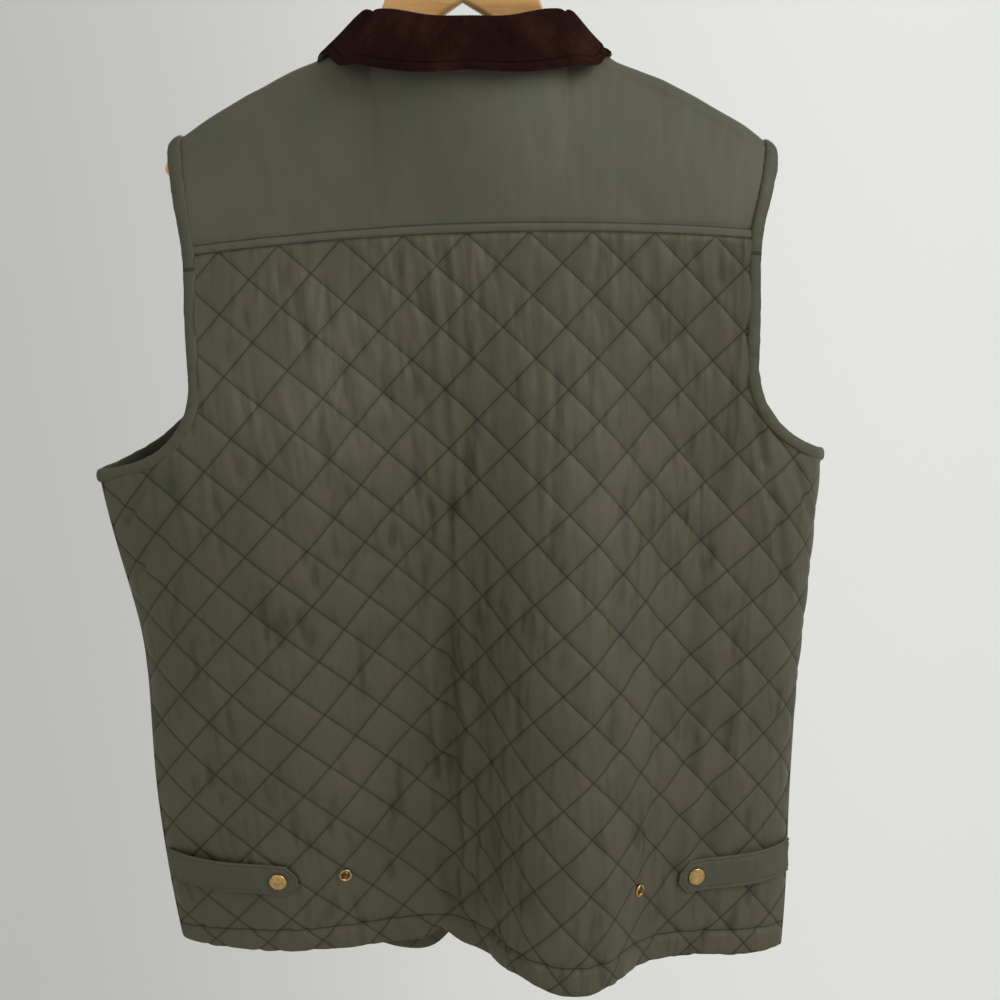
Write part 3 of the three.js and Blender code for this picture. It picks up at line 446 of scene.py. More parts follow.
# Creases that a hanging back gathers: across and below at both ends in the pattern, width and depth
CREASES = (
    (22, 12, 30, 280, 3.2, 1.8),
    (12, 20, 18, 210, 5.0, 1.0),
    (-41, 6, -38, 270, 3.0, 1.1),
    (-131, 4, -128, 110, 5.5, 1.6),
    (-128, 110, -122, 270, 6.5, 1.8),
    (-122, 270, -128, 430, 6.5, 1.6),
    (-187, 310, -180, 440, 6.0, 2.2),
    (-207, 128, -222, 168, 3.2, 2.6),
    (-222, 168, -250, 275, 4.0, 2.4),
    (-245, 160, -268, 208, 3.6, 2.2),
    (256, 165, 281, 200, 3.4, 2.4),
    (258, 214, 276, 240, 3.4, 2.0),
    (236, 168, 255, 250, 5.0, 1.3),
    (38, 260, 48, 566, 6.5, 5.6),
    (60, 360, 54, 560, 5.5, 3.6),
    (24, 400, 34, 556, 5.0, 3.6),
    (-150, 120, -146, 530, 9.0, 2.2),
    (-176, 150, -171, 560, 8.0, 2.4),
    (-206, 300, -200, 540, 8.0, 2.2),
    (-104, 180, -100, 420, 7.0, 1.4),
    (-20, 430, -26, 556, 5.0, 1.2),
    (-86, 440, -90, 556, 5.0, 1.2),
    (168, 60, 150, 300, 9.0, 1.0),
    (96, 30, 112, 240, 8.0, 0.9),
)
CREASE_WANDER = (2.2, 38, 1, 5)
CREASE_ENDS = (-0.06, 0.22)  # shares of its length over which a crease sets in
CREASE_SHOULDER = 0.45  # the low swelling beside a crease, as a share of its depth
CREASE_SHOULDER_AT = 2.1

# Wrinkles: height, length across and down in millimetres, and the number of their noise
WANDER = (3.0, 31, 55, 1)
UPRIGHT = (1.0, 5.2, 34, 2)
UPRIGHT_FINE = (0.5, 2.9, 19, 3)
UPRIGHT_PLACES = (1.0, 26, 30, 4)
PUCKERS = (0.17, 3.4, 4.6, 5)
BILLOWS = (0.9, 62, 90, 6)
BACK_SEED = 10
FRONT_SEED = 30
HEM_PUCKERS = (1.1, 6.5, 26, 61)
GATHERS = (0.55, 5.0, 40, 71)
YOKE_BILLOWS = (1.1, 33, 70, 81)
YOKE_WRINKLES = (0.7, 21, 60, 82)
YOKE_SEAM_PUCKERS = (0.45, 8.0, 22, 83)
YOKE_NECK_PUCKERS = (0.5, 11, 30, 84)
HEM_RIPPLE = (1.4, 21, 1, 91)
HEM_RIPPLE_FINE = (0.7, 5.5, 1, 92)
HALFWAY = 0.5  # a row through the noise, for wrinkles along a line


def wrinkled(kind, across, below, seed=0):
    high, wide, long, number = kind
    return high * noise(across / wide, below / long, seed + number)


def creased(across, below):
    total = 0
    start, full = CREASE_ENDS
    for k, (s0, t0, s1, t1, width, depth) in enumerate(CREASES):
        reach = math.hypot(s1 - s0, t1 - t0)
        ds, dt = (s1 - s0) / reach, (t1 - t0) / reach
        on = ((across - s0) * ds + (below - t0) * dt) / reach
        aside = (across - s0) * dt - (below - t0) * ds + wrinkled(CREASE_WANDER, on * reach, k)
        ends = eased(on, start, full) * eased(1 - on, start, full)
        shoulder = CREASE_SHOULDER * bell(np.abs(aside) - CREASE_SHOULDER_AT * width, width)
        total = total + depth * ends * (shoulder - bell(aside, width))
    return total


def seam_distances(across, below):
    """How far a point is from the nearest quilting line of each slant."""
    s = across - QUILT_CENTRE
    period = 2 * QUILT
    one = np.abs((s + below + QUILT) % period - QUILT) / math.sqrt(2)
    two = np.abs((s - below + QUILT) % period - QUILT) / math.sqrt(2)
    return one, two


GROOVE = 1.5
GROOVE_SHARE = 0.5
DOME = 7.0
DOME_SHARE = 0.9
FILLED = 0.95
UPRIGHT_HIGH = 0.34
UPRIGHT_FROM, UPRIGHT_FULL = -0.2, 0.75  # of the noise that says where they lie
PUCKER_REACH = 3.6


def quilted(across, below, seed):
    """How far the quilted cloth stands out of its cut, with its puckers."""
    one, two = seam_distances(across, below)
    groove = (1 - fading(one, GROOVE)) * (1 - fading(two, GROOVE))
    swell = (1 - fading(one, DOME)) * (1 - fading(two, DOME))
    dome = GROOVE_SHARE * groove + DOME_SHARE * swell
    leaning = across + wrinkled(WANDER, across, below, seed)
    upright = wrinkled(UPRIGHT, leaning, below, seed) + wrinkled(UPRIGHT_FINE, leaning, below, seed)
    share = eased(wrinkled(UPRIGHT_PLACES, across, below, seed), UPRIGHT_FROM, UPRIGHT_FULL)
    pucker = wrinkled(PUCKERS, across, below, seed) * fading(np.minimum(one, two), PUCKER_REACH)
    billow = wrinkled(BILLOWS, across, below, seed)
    return PILLOW * FILLED * dome + UPRIGHT_HIGH * upright * share * dome + pucker + billow


HEM_GROOVE = -1.7
HEM_GROOVE_HALF = 1.8
HEM_SWELL = 0.9
HEM_PUCKER_REACH = 9
HEM_TURN = 14
GATHER_REACH = 16
SIDE_SEAM = 3.0
YOKE_LAP = 0.01


def hemmed(above):
    """The turned-up hem: thicker, drawn in along its topstitch. above is from its edge."""
    drawn = HEM_GROOVE * bell(above - HEM_STITCH, HEM_GROOVE_HALF)
    return HEM_SWELL * eased(HEM_STITCH - above, 0.5, 3.0) + drawn


def rounded(distance, radius):
    """From 0 at an edge to 1 a radius in from it, as a quarter circle."""
    return np.sqrt(np.clip(1 - (1 - np.minimum(distance / radius, 1)) ** 2, 0, 1))


def clear_of_seam(across, below):
    """0 in the side seam and 1 well in from it."""
    side = half_width(below) - np.abs(across)
    return np.where(below > UNDERARM, 1 - fading(side, SIDE_SEAM), 1)


def back_relief(across, below):
    above = BACK_LENGTH - below
    near_stitch = fading(np.abs(above - HEM_STITCH), HEM_PUCKER_REACH)
    lift = quilted(across, below, BACK_SEED) + creased(across, below) + hemmed(above)
    lift = lift + wrinkled(HEM_PUCKERS, across, below) * near_stitch
    top = below + YOKE_LAP
    gathers = wrinkled(GATHERS, across, below) * fading(top, GATHER_REACH)
    return (lift + gathers) * clear_of_seam(across, below) * eased(top, 0, SIDE_SEAM)


def front_relief(across, below):
    hem = hemmed(hem_below(across) - below)
    return (quilted(across, below, FRONT_SEED) + hem) * clear_of_seam(across, below)


def back_hem(across):
    """The back's hem ripples a little and is drawn up at its left corner and in two folds."""
    level = BACK_LENGTH + wrinkled(HEM_RIPPLE, across, HALFWAY) - hem_corner(across)
    level += wrinkled(HEM_RIPPLE_FINE, across, HALFWAY)
    for at, width, lift in HEM_LIFTS:
        level = level - lift * bell(across - at, width)
    return level


def off_back_hem(across, below, out):
    share = fading(BACK_LENGTH - below, HEM_TURN)
    return off_back(across, below + share * (back_hem(across) - BACK_LENGTH), out)


def on_back(across, below, out=0.0):
    return off_back_hem(across, below, back_relief(across, below) + out)


def on_front(across, below, out=0.0):
    return off_front(across, below, front_relief(across, below) + out)


YOKE_LEANS = (0.25, -0.3)
YOKE_SEAM_REACH = 26
YOKE_NECK_REACH = 20
YOKE_FREE = 14
YOKE_EDGE = 0.9
YOKE_GROOVE = -0.8
YOKE_GROOVE_HALF = 1.0
YOKE_GROOVE_OFF = 0.4


def yoke_relief(across, up, length):
    """Soft upright wrinkles, and the doubled edge under the topstitch."""
    way = up * length
    kinds = zip((YOKE_BILLOWS, YOKE_WRINKLES), YOKE_LEANS)
    soft = sum(wrinkled(kind, across + lean * way, way) for kind, lean in kinds)
    near_seam = wrinkled(YOKE_SEAM_PUCKERS, across, way) * np.exp(-way / YOKE_SEAM_REACH)
    near_neck = wrinkled(YOKE_NECK_PUCKERS, across, way) * fading(length - way, YOKE_NECK_REACH)
    edge = YOKE_EDGE * eased(YOKE_STITCH - way, -0.2, 1.4)
    groove = YOKE_GROOVE * bell(way - YOKE_STITCH - YOKE_GROOVE_OFF, YOKE_GROOVE_HALF)
    return soft * eased(way, 0, YOKE_FREE) + near_seam + near_neck + edge + groove


def on_yoke(across, up, out=0.0):
    across, up = np.broadcast_arrays(np.asarray(across, float), np.asarray(up, float))
    return off_yoke(across, up, yoke_relief(across, up, yoke_length(across)) + out)


# Materials


def fill(tree, made, values):
    """Sets or links a node's inputs, whose names take _ for a space, and its settings."""
    for name, value in values.items():
        socket = name.replace("_", " ")
        if socket not in made.inputs:
            setattr(made, name, value)
        elif isinstance(value, bpy.types.NodeSocket):
            tree.links.new(value, made.inputs[socket])
        else:
            made.inputs[socket].default_value = value


def node(tree, kind, **values):
    made = tree.nodes.new(kind)
    fill(tree, made, values)
    return made


def material(name, roughness, metallic=0.0, colour=(0.5, 0.5, 0.5)):
    made = bpy.data.materials.new(name)
    made.use_nodes = True
    tree = made.node_tree
    shader = tree.nodes["Principled BSDF"]
    fill(tree, shader, dict(Roughness=roughness, Metallic=metallic, Base_Color=(*colour, 1)))
    return made, tree, shader


def mapped(tree, source="UV", stretch=(1, 1, 1)):
    place = node(tree, "ShaderNodeTexCoord").outputs[source]
    return node(tree, "ShaderNodeMapping", Vector=place, Scale=stretch).outputs["Vector"]


def noise_node(tree, stretch, scale, detail, rough=0.55, source="UV"):
    values = dict(Scale=scale, Detail=detail, Roughness=rough)
    return node(tree, "ShaderNodeTexNoise", Vector=mapped(tree, source, stretch), **values).outputs["Fac"]


def ramp(tree, source, stops):
    made = node(tree, "ShaderNodeValToRGB", Fac=source)
    elements = made.color_ramp.elements
    while len(elements) < len(stops):
        elements.new(0.5)
    for element, (place, colour) in zip(elements, stops):
        element.position = place
        element.color = (*colour, 1)
    return made.outputs["Color"]


def bump(tree, shader, high, strength, distance, after=None):
    made = node(tree, "ShaderNodeBump", Strength=strength, Distance=distance, Height=high)
    if after is not None:
        tree.links.new(after, made.inputs["Normal"])
    tree.links.new(made.outputs["Normal"], shader.inputs["Normal"])
    return made.outputs["Normal"]


def arithmetic(tree, operation, first, second):
    made = node(tree, "ShaderNodeMath", operation=operation)
    for socket, value in zip(made.inputs, (first, second)):
        if isinstance(value, float):
            socket.default_value = value
        else:
            tree.links.new(value, socket)
    return made.outputs["Value"]


def ranged(tree, value, low, high, to_low, to_high, curve="SMOOTHSTEP"):
    limits = dict(From_Min=low, From_Max=high, To_Min=to_low, To_Max=to_high)
    made = node(tree, "ShaderNodeMapRange", interpolation_type=curve, Value=value, **limits)
    return made.outputs["Result"]


def tint(tree, shader, colour, share):
    """A base colour that is darker where the share is less than 1."""
    made = node(tree, "ShaderNodeVectorMath", operation="SCALE", Vector=colour, Scale=share)
    tree.links.new(made.outputs["Vector"], shader.inputs["Base Color"])


def worn(tree, shader, value, roughness, smoother, rougher):
    uneven = ranged(tree, value, 0.0, 1.0, roughness - smoother, roughness + rougher, "LINEAR")
    tree.links.new(uneven, shader.inputs["Roughness"])


THREADS = 0.00042  # metres from one thread of the weave to the next
WEAVE = dict(wave_type="BANDS", Scale=math.pi / THREADS / 10, Distortion=0.6, Detail=1.0)
WEAVE_DEEP = 0.00008
LINE_FROM = 0.2  # where a quilting line and a seam start to fade, in millimetres from their middle
LINE_HALF = 0.7
# A soft painted shade either side of each quilting line: its reach and how light it leaves the cloth
LINE_SOFT = 3.0
LINE_SOFT_SHADE = 0.84
# How light a line stays at the needle's holes and between them: the dark thread and painted groove shade
# together
HOLE_SHADE = 0.26
BETWEEN_HOLES_SHADE = 0.62
# How wide and how dark the painted shade along a sewn line is
SEAM_HALF = 1.1
SEAM_SHADE = 0.42
STITCH_PITCH = 2.1


def weave_height(tree, vector):
    """A plain weave in the cloth's own directions."""
    waves = [
        node(tree, "ShaderNodeTexWave", bands_direction=way, Vector=vector, **WEAVE).outputs["Fac"]
        for way in ("X", "Y")
    ]
    return arithmetic(tree, "MAXIMUM", *waves)


def quilting_shade(tree, uv):
    """1 on the open cloth, less in the quilting lines and least at the needle's holes: painted shade in the
    lines' grooves and softly beside them, together with the dark thread.
    """
    split = node(tree, "ShaderNodeSeparateXYZ", Vector=uv)
    across = arithmetic(tree, "SUBTRACT", split.outputs["X"], QUILT_CENTRE * MM)
    slants = [arithmetic(tree, operation, across, split.outputs["Y"]) for operation in ("ADD", "SUBTRACT")]
    hole = STITCH_PITCH / math.sqrt(2) * MM
    shades = []
    for slant, other in (slants, slants[::-1]):
        far = arithmetic(tree, "PINGPONG", slant, QUILT * MM)
        holes = arithmetic(tree, "PINGPONG", other, hole)
        dots = ranged(tree, holes, 0.25 * hole, 0.75 * hole, 1 - HOLE_SHADE, 1 - BETWEEN_HOLES_SHADE)
        # The dark line: painted shade in the groove, together with the thread
        line = ranged(tree, far, LINE_FROM * MM, LINE_HALF * math.sqrt(2) * MM, 1.0, 0.0)
        dark = arithmetic(tree, "MULTIPLY", dots, line)
        # Soft painted shade on the cloth beside the line
        soft = ranged(tree, far, 0.0, LINE_SOFT * math.sqrt(2) * MM, LINE_SOFT_SHADE, 1.0)
        shades.append(arithmetic(tree, "MULTIPLY", arithmetic(tree, "SUBTRACT", 1.0, dark), soft))
    return arithmetic(tree, "MULTIPLY", *shades)


def seam_shade(tree, uv, level):
    """1 on the open cloth, less in a sewn line at a level of the pattern: painted shade in the line's
    groove, together with the dark thread.
    """
    split = node(tree, "ShaderNodeSeparateXYZ", Vector=uv)
    off = arithmetic(tree, "SUBTRACT", split.outputs["Y"], level * MM)
    far = arithmetic(tree, "ABSOLUTE", off, 0.0)
    return ranged(tree, far, LINE_FROM * MM, SEAM_HALF * MM, SEAM_SHADE, 1.0)


# Noise of the materials: stretch, scale, detail and roughness
TONE_NOISE = ((1.0, 0.6, 1), 26.0, 4.0, 0.5)
CRUSHED_NOISE = ((1.0, 0.26, 1), 88.0, 1.5, 0.4)
SPREAD_NOISE = ((1.0, 0.5, 1), 24.0, 2.0)
NAP_NOISE = ((1, 1, 1), 22.0, 6.0, 0.7)
PILE_NOISE = ((1.0, 0.3, 1), 1400.0, 3.0, 0.7)
TWIST_NOISE = ((1, 1, 1), 900.0, 2.0)
WORN_NOISE = ((1, 1, 1), 260.0, 5.0, 0.6)
GRAIN_NOISE = ((1, 1, 1), 900.0, 3.0)
RINGS_NOISE = ((0.12, 1.6, 1), 75.0, 6.0, 0.6)
PORES_NOISE = ((0.05, 1.0, 1.0), 900.0, 3.0)
TONE_PLACES = (0.32, 0.5, 0.68)
CRUSHED_RANGE = (0.36, 0.62, 0.25, 1.0)  # from and to, least and most share of the creases
# Crease depths over which the cloth is painted darker, as shade in the creases
DEEP_FROM, DEEP_TO = -0.2, -0.06
WEAVE_SHARE = 0.25
CLOTH_SPECULAR = 0.25
THREAD_DARK = 0.6


def cloth(name, tones, roughness, crease, crease_shade, quilted_lines=False, seams=()):
    """Closely woven satiny cloth: random changes of its colour, upright creases with painted shade in them,
    painted shade along quilting lines and seams where asked, and its weave.
    """
    made, tree, shader = material(name, roughness)
    uv = mapped(tree)
    colour = ramp(tree, noise_node(tree, *TONE_NOISE), list(zip(TONE_PLACES, tones)))
    crushed = noise_node(tree, *CRUSHED_NOISE)
    where = ranged(tree, noise_node(tree, *SPREAD_NOISE), *CRUSHED_RANGE)
    deep = arithmetic(tree, "MULTIPLY", arithmetic(tree, "SUBTRACT", crushed, 0.5), where)
    creases = bump(tree, shader, deep, 1.0, crease)
    # Painted shade: the colour is darker where the crease bump is deepest
    painted_shade = ranged(tree, deep, DEEP_FROM, DEEP_TO, crease_shade, 1.0)
    # Painted shade along the quilting lines, together with the dark thread
    if quilted_lines:
        painted_shade = arithmetic(tree, "MULTIPLY", painted_shade, quilting_shade(tree, uv))
    # Painted shade along the sewn lines at these levels
    for level in seams:
        painted_shade = arithmetic(tree, "MULTIPLY", painted_shade, seam_shade(tree, uv, level))
    tint(tree, shader, colour, painted_shade)
    bump(tree, shader, weave_height(tree, uv), WEAVE_SHARE, WEAVE_DEEP, creases)
    worn(tree, shader, crushed, roughness, 0.06, 0.08)
    shader.inputs["Specular IOR Level"].default_value = CLOTH_SPECULAR
    return made


QUILTED_TONES = ((0.066, 0.068, 0.041), (0.077, 0.073, 0.044), (0.087, 0.078, 0.049))
PLAIN_TONES = ((0.076, 0.078, 0.053), (0.082, 0.081, 0.056), (0.088, 0.084, 0.058))
TRIM_TONES = ((0.062, 0.064, 0.042), (0.068, 0.068, 0.045), (0.074, 0.071, 0.048))
LINING_TONES = ((0.008, 0.010, 0.010), (0.011, 0.013, 0.013), (0.016, 0.018, 0.018))
# Each cloth: tones, roughness, crease bump, how light its painted crease shade leaves it, whether its
# quilting lines get painted shade, and the levels of its seams with painted shade
QUILTED_LOOK = (QUILTED_TONES, 0.54, 0.0075, 0.7, True)
back_cloth = cloth("quilted_back_shell", *QUILTED_LOOK, (HEM_STITCH - BACK_LENGTH,))
quilt_cloth = cloth("quilted_shell", *QUILTED_LOOK)
yoke_cloth = cloth("plain_shell", PLAIN_TONES, 0.56, 0.0012, 0.96, False, (0.0, YOKE_STITCH))
trim_cloth = cloth("trim_shell", TRIM_TONES, 0.58, 0.0022, 0.85)
lining_cloth = cloth("lining", LINING_TONES, 0.5, 0.0012, 0.9)


def corduroy_material():
    made, tree, shader = material("corduroy", 0.95)
    stops = [(0.3, (0.007, 0.0022, 0.0016)), (0.52, (0.017, 0.0055, 0.0038)), (0.72, (0.038, 0.014, 0.010))]
    colour = ramp(tree, noise_node(tree, *NAP_NOISE), stops)
    # Painted shade along the groove of the collar's topstitch
    tint(tree, shader, colour, seam_shade(tree, mapped(tree), -YOKE_STITCH))
    bump(tree, shader, noise_node(tree, *PILE_NOISE), 0.7, 0.0005)
    sheen = dict(Sheen_Weight=0.03, Sheen_Roughness=0.5, Sheen_Tint=(0.55, 0.33, 0.28, 1))
    fill(tree, shader, dict(Specular_IOR_Level=0.05, **sheen))
    return made


def thread_material(name, colour):
    made, tree, shader = material(name, 0.75, colour=colour)
    twist = noise_node(tree, *TWIST_NOISE, source="Object")
    dark = tuple(THREAD_DARK * c for c in colour)
    tree.links.new(ramp(tree, twist, [(0.3, dark), (0.7, colour)]), shader.inputs["Base Color"])
    bump(tree, shader, twist, 0.4, 0.0002)
    return made


def metal(name, light, dark, roughness):
    made, tree, shader = material(name, roughness, 1.0)
    wear = noise_node(tree, *WORN_NOISE, source="Object")
    tree.links.new(ramp(tree, wear, [(0.3, dark), (0.65, light)]), shader.inputs["Base Color"])
    worn(tree, shader, wear, roughness, 0.08, 0.14)
    bump(tree, shader, noise_node(tree, *GRAIN_NOISE, source="Object"), 0.15, 0.0002)
    return made


def wood_material():
    made, tree, shader = material("hanger_wood", 0.35)
    rings = noise_node(tree, *RINGS_NOISE, source="Object")
    stops = [(0.3, (0.42, 0.20, 0.055)), (0.48, (0.62, 0.34, 0.11)), (0.72, (0.74, 0.46, 0.18))]
    tree.links.new(ramp(tree, rings, stops), shader.inputs["Base Color"])
    bump(tree, shader, noise_node(tree, *PORES_NOISE, source="Object"), 0.2, 0.0003)
    fill(tree, shader, dict(Coat_Weight=0.35, Coat_Roughness=0.15))
    return made


corduroy_cloth = corduroy_material()
quilt_thread = thread_material("quilting_thread", (0.014, 0.010, 0.006))
edge_thread = thread_material("edge_thread", (0.018, 0.017, 0.011))
collar_thread = thread_material("collar_thread", (0.006, 0.003, 0.002))
brass = metal("snap_brass", (0.68, 0.46, 0.19), (0.36, 0.22, 0.08), 0.3)
dark_brass = metal("snap_socket", (0.22, 0.15, 0.07), (0.07, 0.05, 0.03), 0.42)
steel = metal("hook_wire", (0.62, 0.62, 0.63), (0.42, 0.42, 0.43), 0.2)
wood = wood_material()

# Meshes


def piece(name, verts, faces, materials, uv=None, uses=None):
    """A mesh from points in millimetres and a list of arrays of faces, smooth all over."""
    mesh = bpy.data.meshes.new(name)
    corners = np.concatenate([f.ravel() for f in faces])
    sizes = np.concatenate([np.full(len(f), f.shape[1]) for f in faces])
    mesh.vertices.add(len(verts))
    mesh.vertices.foreach_set("co", (verts * MM).astype(np.float32).ravel())
    mesh.loops.add(len(corners))
    mesh.loops.foreach_set("vertex_index", corners.astype(np.int32))
    mesh.polygons.add(len(sizes))
    starts = np.concatenate([[0], np.cumsum(sizes)[:-1]])
    mesh.polygons.foreach_set("loop_start", starts.astype(np.int32))
    mesh.polygons.foreach_set("use_smooth", np.ones(len(sizes), bool))
    if uses is not None:
        mesh.polygons.foreach_set("material_index", uses.astype(np.int32))
    mesh.update(calc_edges=True)
    if uv is not None:
        layer = mesh.uv_layers.new(name="UVMap")
        layer.data.foreach_set("uv", (uv[corners] * MM).astype(np.float32).ravel())
    for one in materials:
        mesh.materials.append(one)
    made = bpy.data.objects.new(name, mesh)
    bpy.context.scene.collection.objects.link(made)
    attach(made, "root")
    return made


def dressed(made, cad_node):
    """Hides the solid of model.glb that a piece takes the place of."""
    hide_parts(cad_node)


def grid_faces(rows, columns, closed=False):
    """Quads over a grid of points; closed joins its last column to its first."""
    wide = columns if closed else columns - 1
    j, i = np.meshgrid(np.arange(rows - 1), np.arange(wide), indexing="ij")
    n = (i + 1) % columns
    a = j * columns
    return np.stack([a + i, a + n, a + columns + n, a + columns + i], axis=-1).reshape(-1, 4)


def volume(verts, faces):
    total = 0.0
    for f in faces:
        for k in range(1, f.shape[1] - 1):
            a, b, c = verts[f[:, 0]], verts[f[:, k]], verts[f[:, k + 1]]
            total += float((a * np.cross(b, c)).sum())
    return total


def facing_out(verts, faces):
    return faces if volume(verts, faces) > 0 else [f[:, ::-1] for f in faces]


def slab(name, outer, inner, outside, inside, uv):
    """A closed sheet of cloth between two grids of points."""
    rows, columns = outer.shape[:2]
    size = rows * columns
    verts = np.concatenate([outer.reshape(-1, 3), inner.reshape(-1, 3)])
    top = grid_faces(rows, columns)
    right = columns * np.arange(1, rows) + columns - 1
    left = columns * np.arange(rows - 2, 0, -1)
    ring = np.concatenate([np.arange(columns), right, size - 2 - np.arange(columns - 1), left])
    after = np.roll(ring, -1)
    rim = np.stack([ring, ring + size, after + size, after], axis=-1)
    faces = facing_out(verts, [np.concatenate([top, rim, top[:, ::-1] + size])])
    uses = np.concatenate([np.zeros(len(top) + len(rim)), np.ones(len(top))])
    both = np.concatenate([uv.reshape(-1, 2)] * 2)
    materials = [outside] if inside is None else [outside, inside]
    return piece(name, verts, faces, materials, both, None if inside is None else uses)


def loft(name, rings, made_of, closed):
    """A closed surface through rings of points, capped at both ends unless they join up."""
    count, sides = rings.shape[:2]
    verts = rings.reshape(-1, 3)
    if closed:
        rows = np.concatenate([rings, rings[:1]])
        faces = [grid_faces(count + 1, sides, closed=True) % (count * sides)]
    else:
        faces = [grid_faces(count, sides, closed=True)]
        ends = np.array([rings[0].mean(0), rings[-1].mean(0)])
        first, last = len(verts), len(verts) + 1
        verts = np.concatenate([verts, ends])
        i = np.arange(sides)
        n = (i + 1) % sides
        high = (count - 1) * sides
        faces.append(np.stack([np.full(sides, first), n, i], axis=-1))
        faces.append(np.stack([np.full(sides, last), high + i, high + n], axis=-1))
        rows = rings
    run = np.linalg.norm(np.diff(rows, axis=0), axis=-1).mean(1)
    run = np.concatenate([[0], np.cumsum(run)])[:count]
    width = np.linalg.norm(np.diff(rings, axis=1), axis=-1).mean(0)
    width = np.concatenate([[0], np.cumsum(width)])
    uv = points(run[:, None], width[None, :], 0.0)[..., :2].reshape(-1, 2)
    if len(verts) > len(uv):
        uv = np.concatenate([uv, uv[[0, -1]]])
    return piece(name, verts, facing_out(verts, faces), [made_of], uv)


def through(controls, steps, closed=False):
    """A smooth curve through points along the first axis, with steps to each span."""
    count = len(controls)
    at = np.arange(0, count if closed else count - 1 + 0.5 / steps, 1 / steps)
    k = np.floor(at).astype(int)
    if not closed:
        k = np.minimum(k, count - 2)
    q = (at - k).reshape(-1, *([1] * (controls.ndim - 1)))

    def pick(i):
        return controls[i % count] if closed else controls[np.clip(i, 0, count - 1)]

    a, b, c, d = pick(k - 1), pick(k), pick(k + 1), pick(k + 2)
    return 0.5 * (
        2 * b + (c - a) * q + (2 * a - 5 * b + 4 * c - d) * q**2 + (3 * b - a - 3 * c + d) * q**3
    )


# Stitches: low rounded dashes that dip into the cloth at both ends

STITCH_LENGTH = 1.5
STITCH_WIDTH = 0.62
STITCH_HEIGHT = 0.34
STITCH_SINK = 0.25
PAST_PANEL = 150


class Stitches:
    """Gathers stitches on a surface and makes them one piece."""

    def __init__(self):
        self.verts = []

    def sew(self, place, u, v, du, dv):
        """One stitch for each (u, v), from it to (u + du, v + dv)."""
        if len(u) == 0:
            return
        start, end = place(u, v), place(u + du, v + dv)
        middle_u, middle_v = u + du / 2, v + dv / 2
        middle = place(middle_u, middle_v)
        normal = place(middle_u, middle_v, 1.0) - middle
        way = end - start
        aside = np.cross(normal, way)
        aside *= STITCH_WIDTH / 2 / np.linalg.norm(aside, axis=-1, keepdims=True)
        low = -STITCH_SINK * normal
        sides = [middle - aside + 0.5 * low, middle + aside + 0.5 * low]
        corners = [start + low, end + low, *sides, middle + STITCH_HEIGHT * normal]
        self.verts.append(np.stack(corners, axis=1))

    def follow(self, place, u, v, pitch=STITCH_PITCH):
        """A row of stitches along a path of (u, v), spaced by its length in space."""
        path = place(u, v)
        length = run_along(path)
        starts = np.arange(pitch / 2, length[-1] - pitch, pitch)
        ends = starts + STITCH_LENGTH
        u0, v0 = np.interp(starts, length, u), np.interp(starts, length, v)
        u1, v1 = np.interp(ends, length, u), np.interp(ends, length, v)
        self.sew(place, u0, v0, u1 - u0, v1 - v0)

    def make(self, name, thread):
        verts = np.concatenate(self.verts)
        first = 5 * np.arange(len(verts))[:, None]
        shape = [(0, 3, 4), (0, 4, 2), (1, 4, 3), (1, 2, 4), (0, 2, 3), (1, 3, 2)]
        faces = np.concatenate([first + np.array(one) for one in shape])
        return piece(name, verts.reshape(-1, 3), [faces], [thread])


def quilting_rows(stitches, place, low, high, inside):
    """Stitches along every quilting line of both slants, where inside(across, below)."""
    step = STITCH_PITCH / math.sqrt(2)
    dash = STITCH_LENGTH / math.sqrt(2)
    for slant in (1, -1):
        reach = CHEST_HALF + BACK_LENGTH + PAST_PANEL
        first, last = math.floor(-reach / (2 * QUILT)), math.ceil(reach / (2 * QUILT))
        for k in range(first, last):
            below = np.arange(low, high, step)
            across = QUILT_CENTRE + slant * (below - 2 * QUILT * k)
            keep = inside(across, below)
            stitches.sew(place, across[keep], below[keep], slant * dash, dash)


# The quilted panels


def armhole_curve(half_at_seam, angle):
    reach = CHEST_HALF - half_at_seam
    across = CHEST_HALF - reach * np.cos(angle) ** (2 / ARMHOLE_POWER)
    deep = UNDERARM - ARMHOLE_STRAIGHT
    return across, ARMHOLE_STRAIGHT + deep * np.sin(angle) ** (2 / ARMHOLE_POWER)


def panel_edge(half_at_seam, below):
    """How far across a panel reaches at a level below the yoke seam."""
    deep = np.clip((below - ARMHOLE_STRAIGHT) / (UNDERARM - ARMHOLE_STRAIGHT), 0, 1)
    angle = np.arcsin(deep ** (ARMHOLE_POWER / 2))
    across, _ = armhole_curve(half_at_seam, angle)
    return np.where(below < UNDERARM, across, half_width(below) - SEAM_GAP / 2)


CELL = QUILT / 8  # the grid of the quilted cloth: every quilting line runs through its corners
HEM_ROUND = 3.0
LEAST_WALL = 1.2
LEAST_AREA = 1e-3


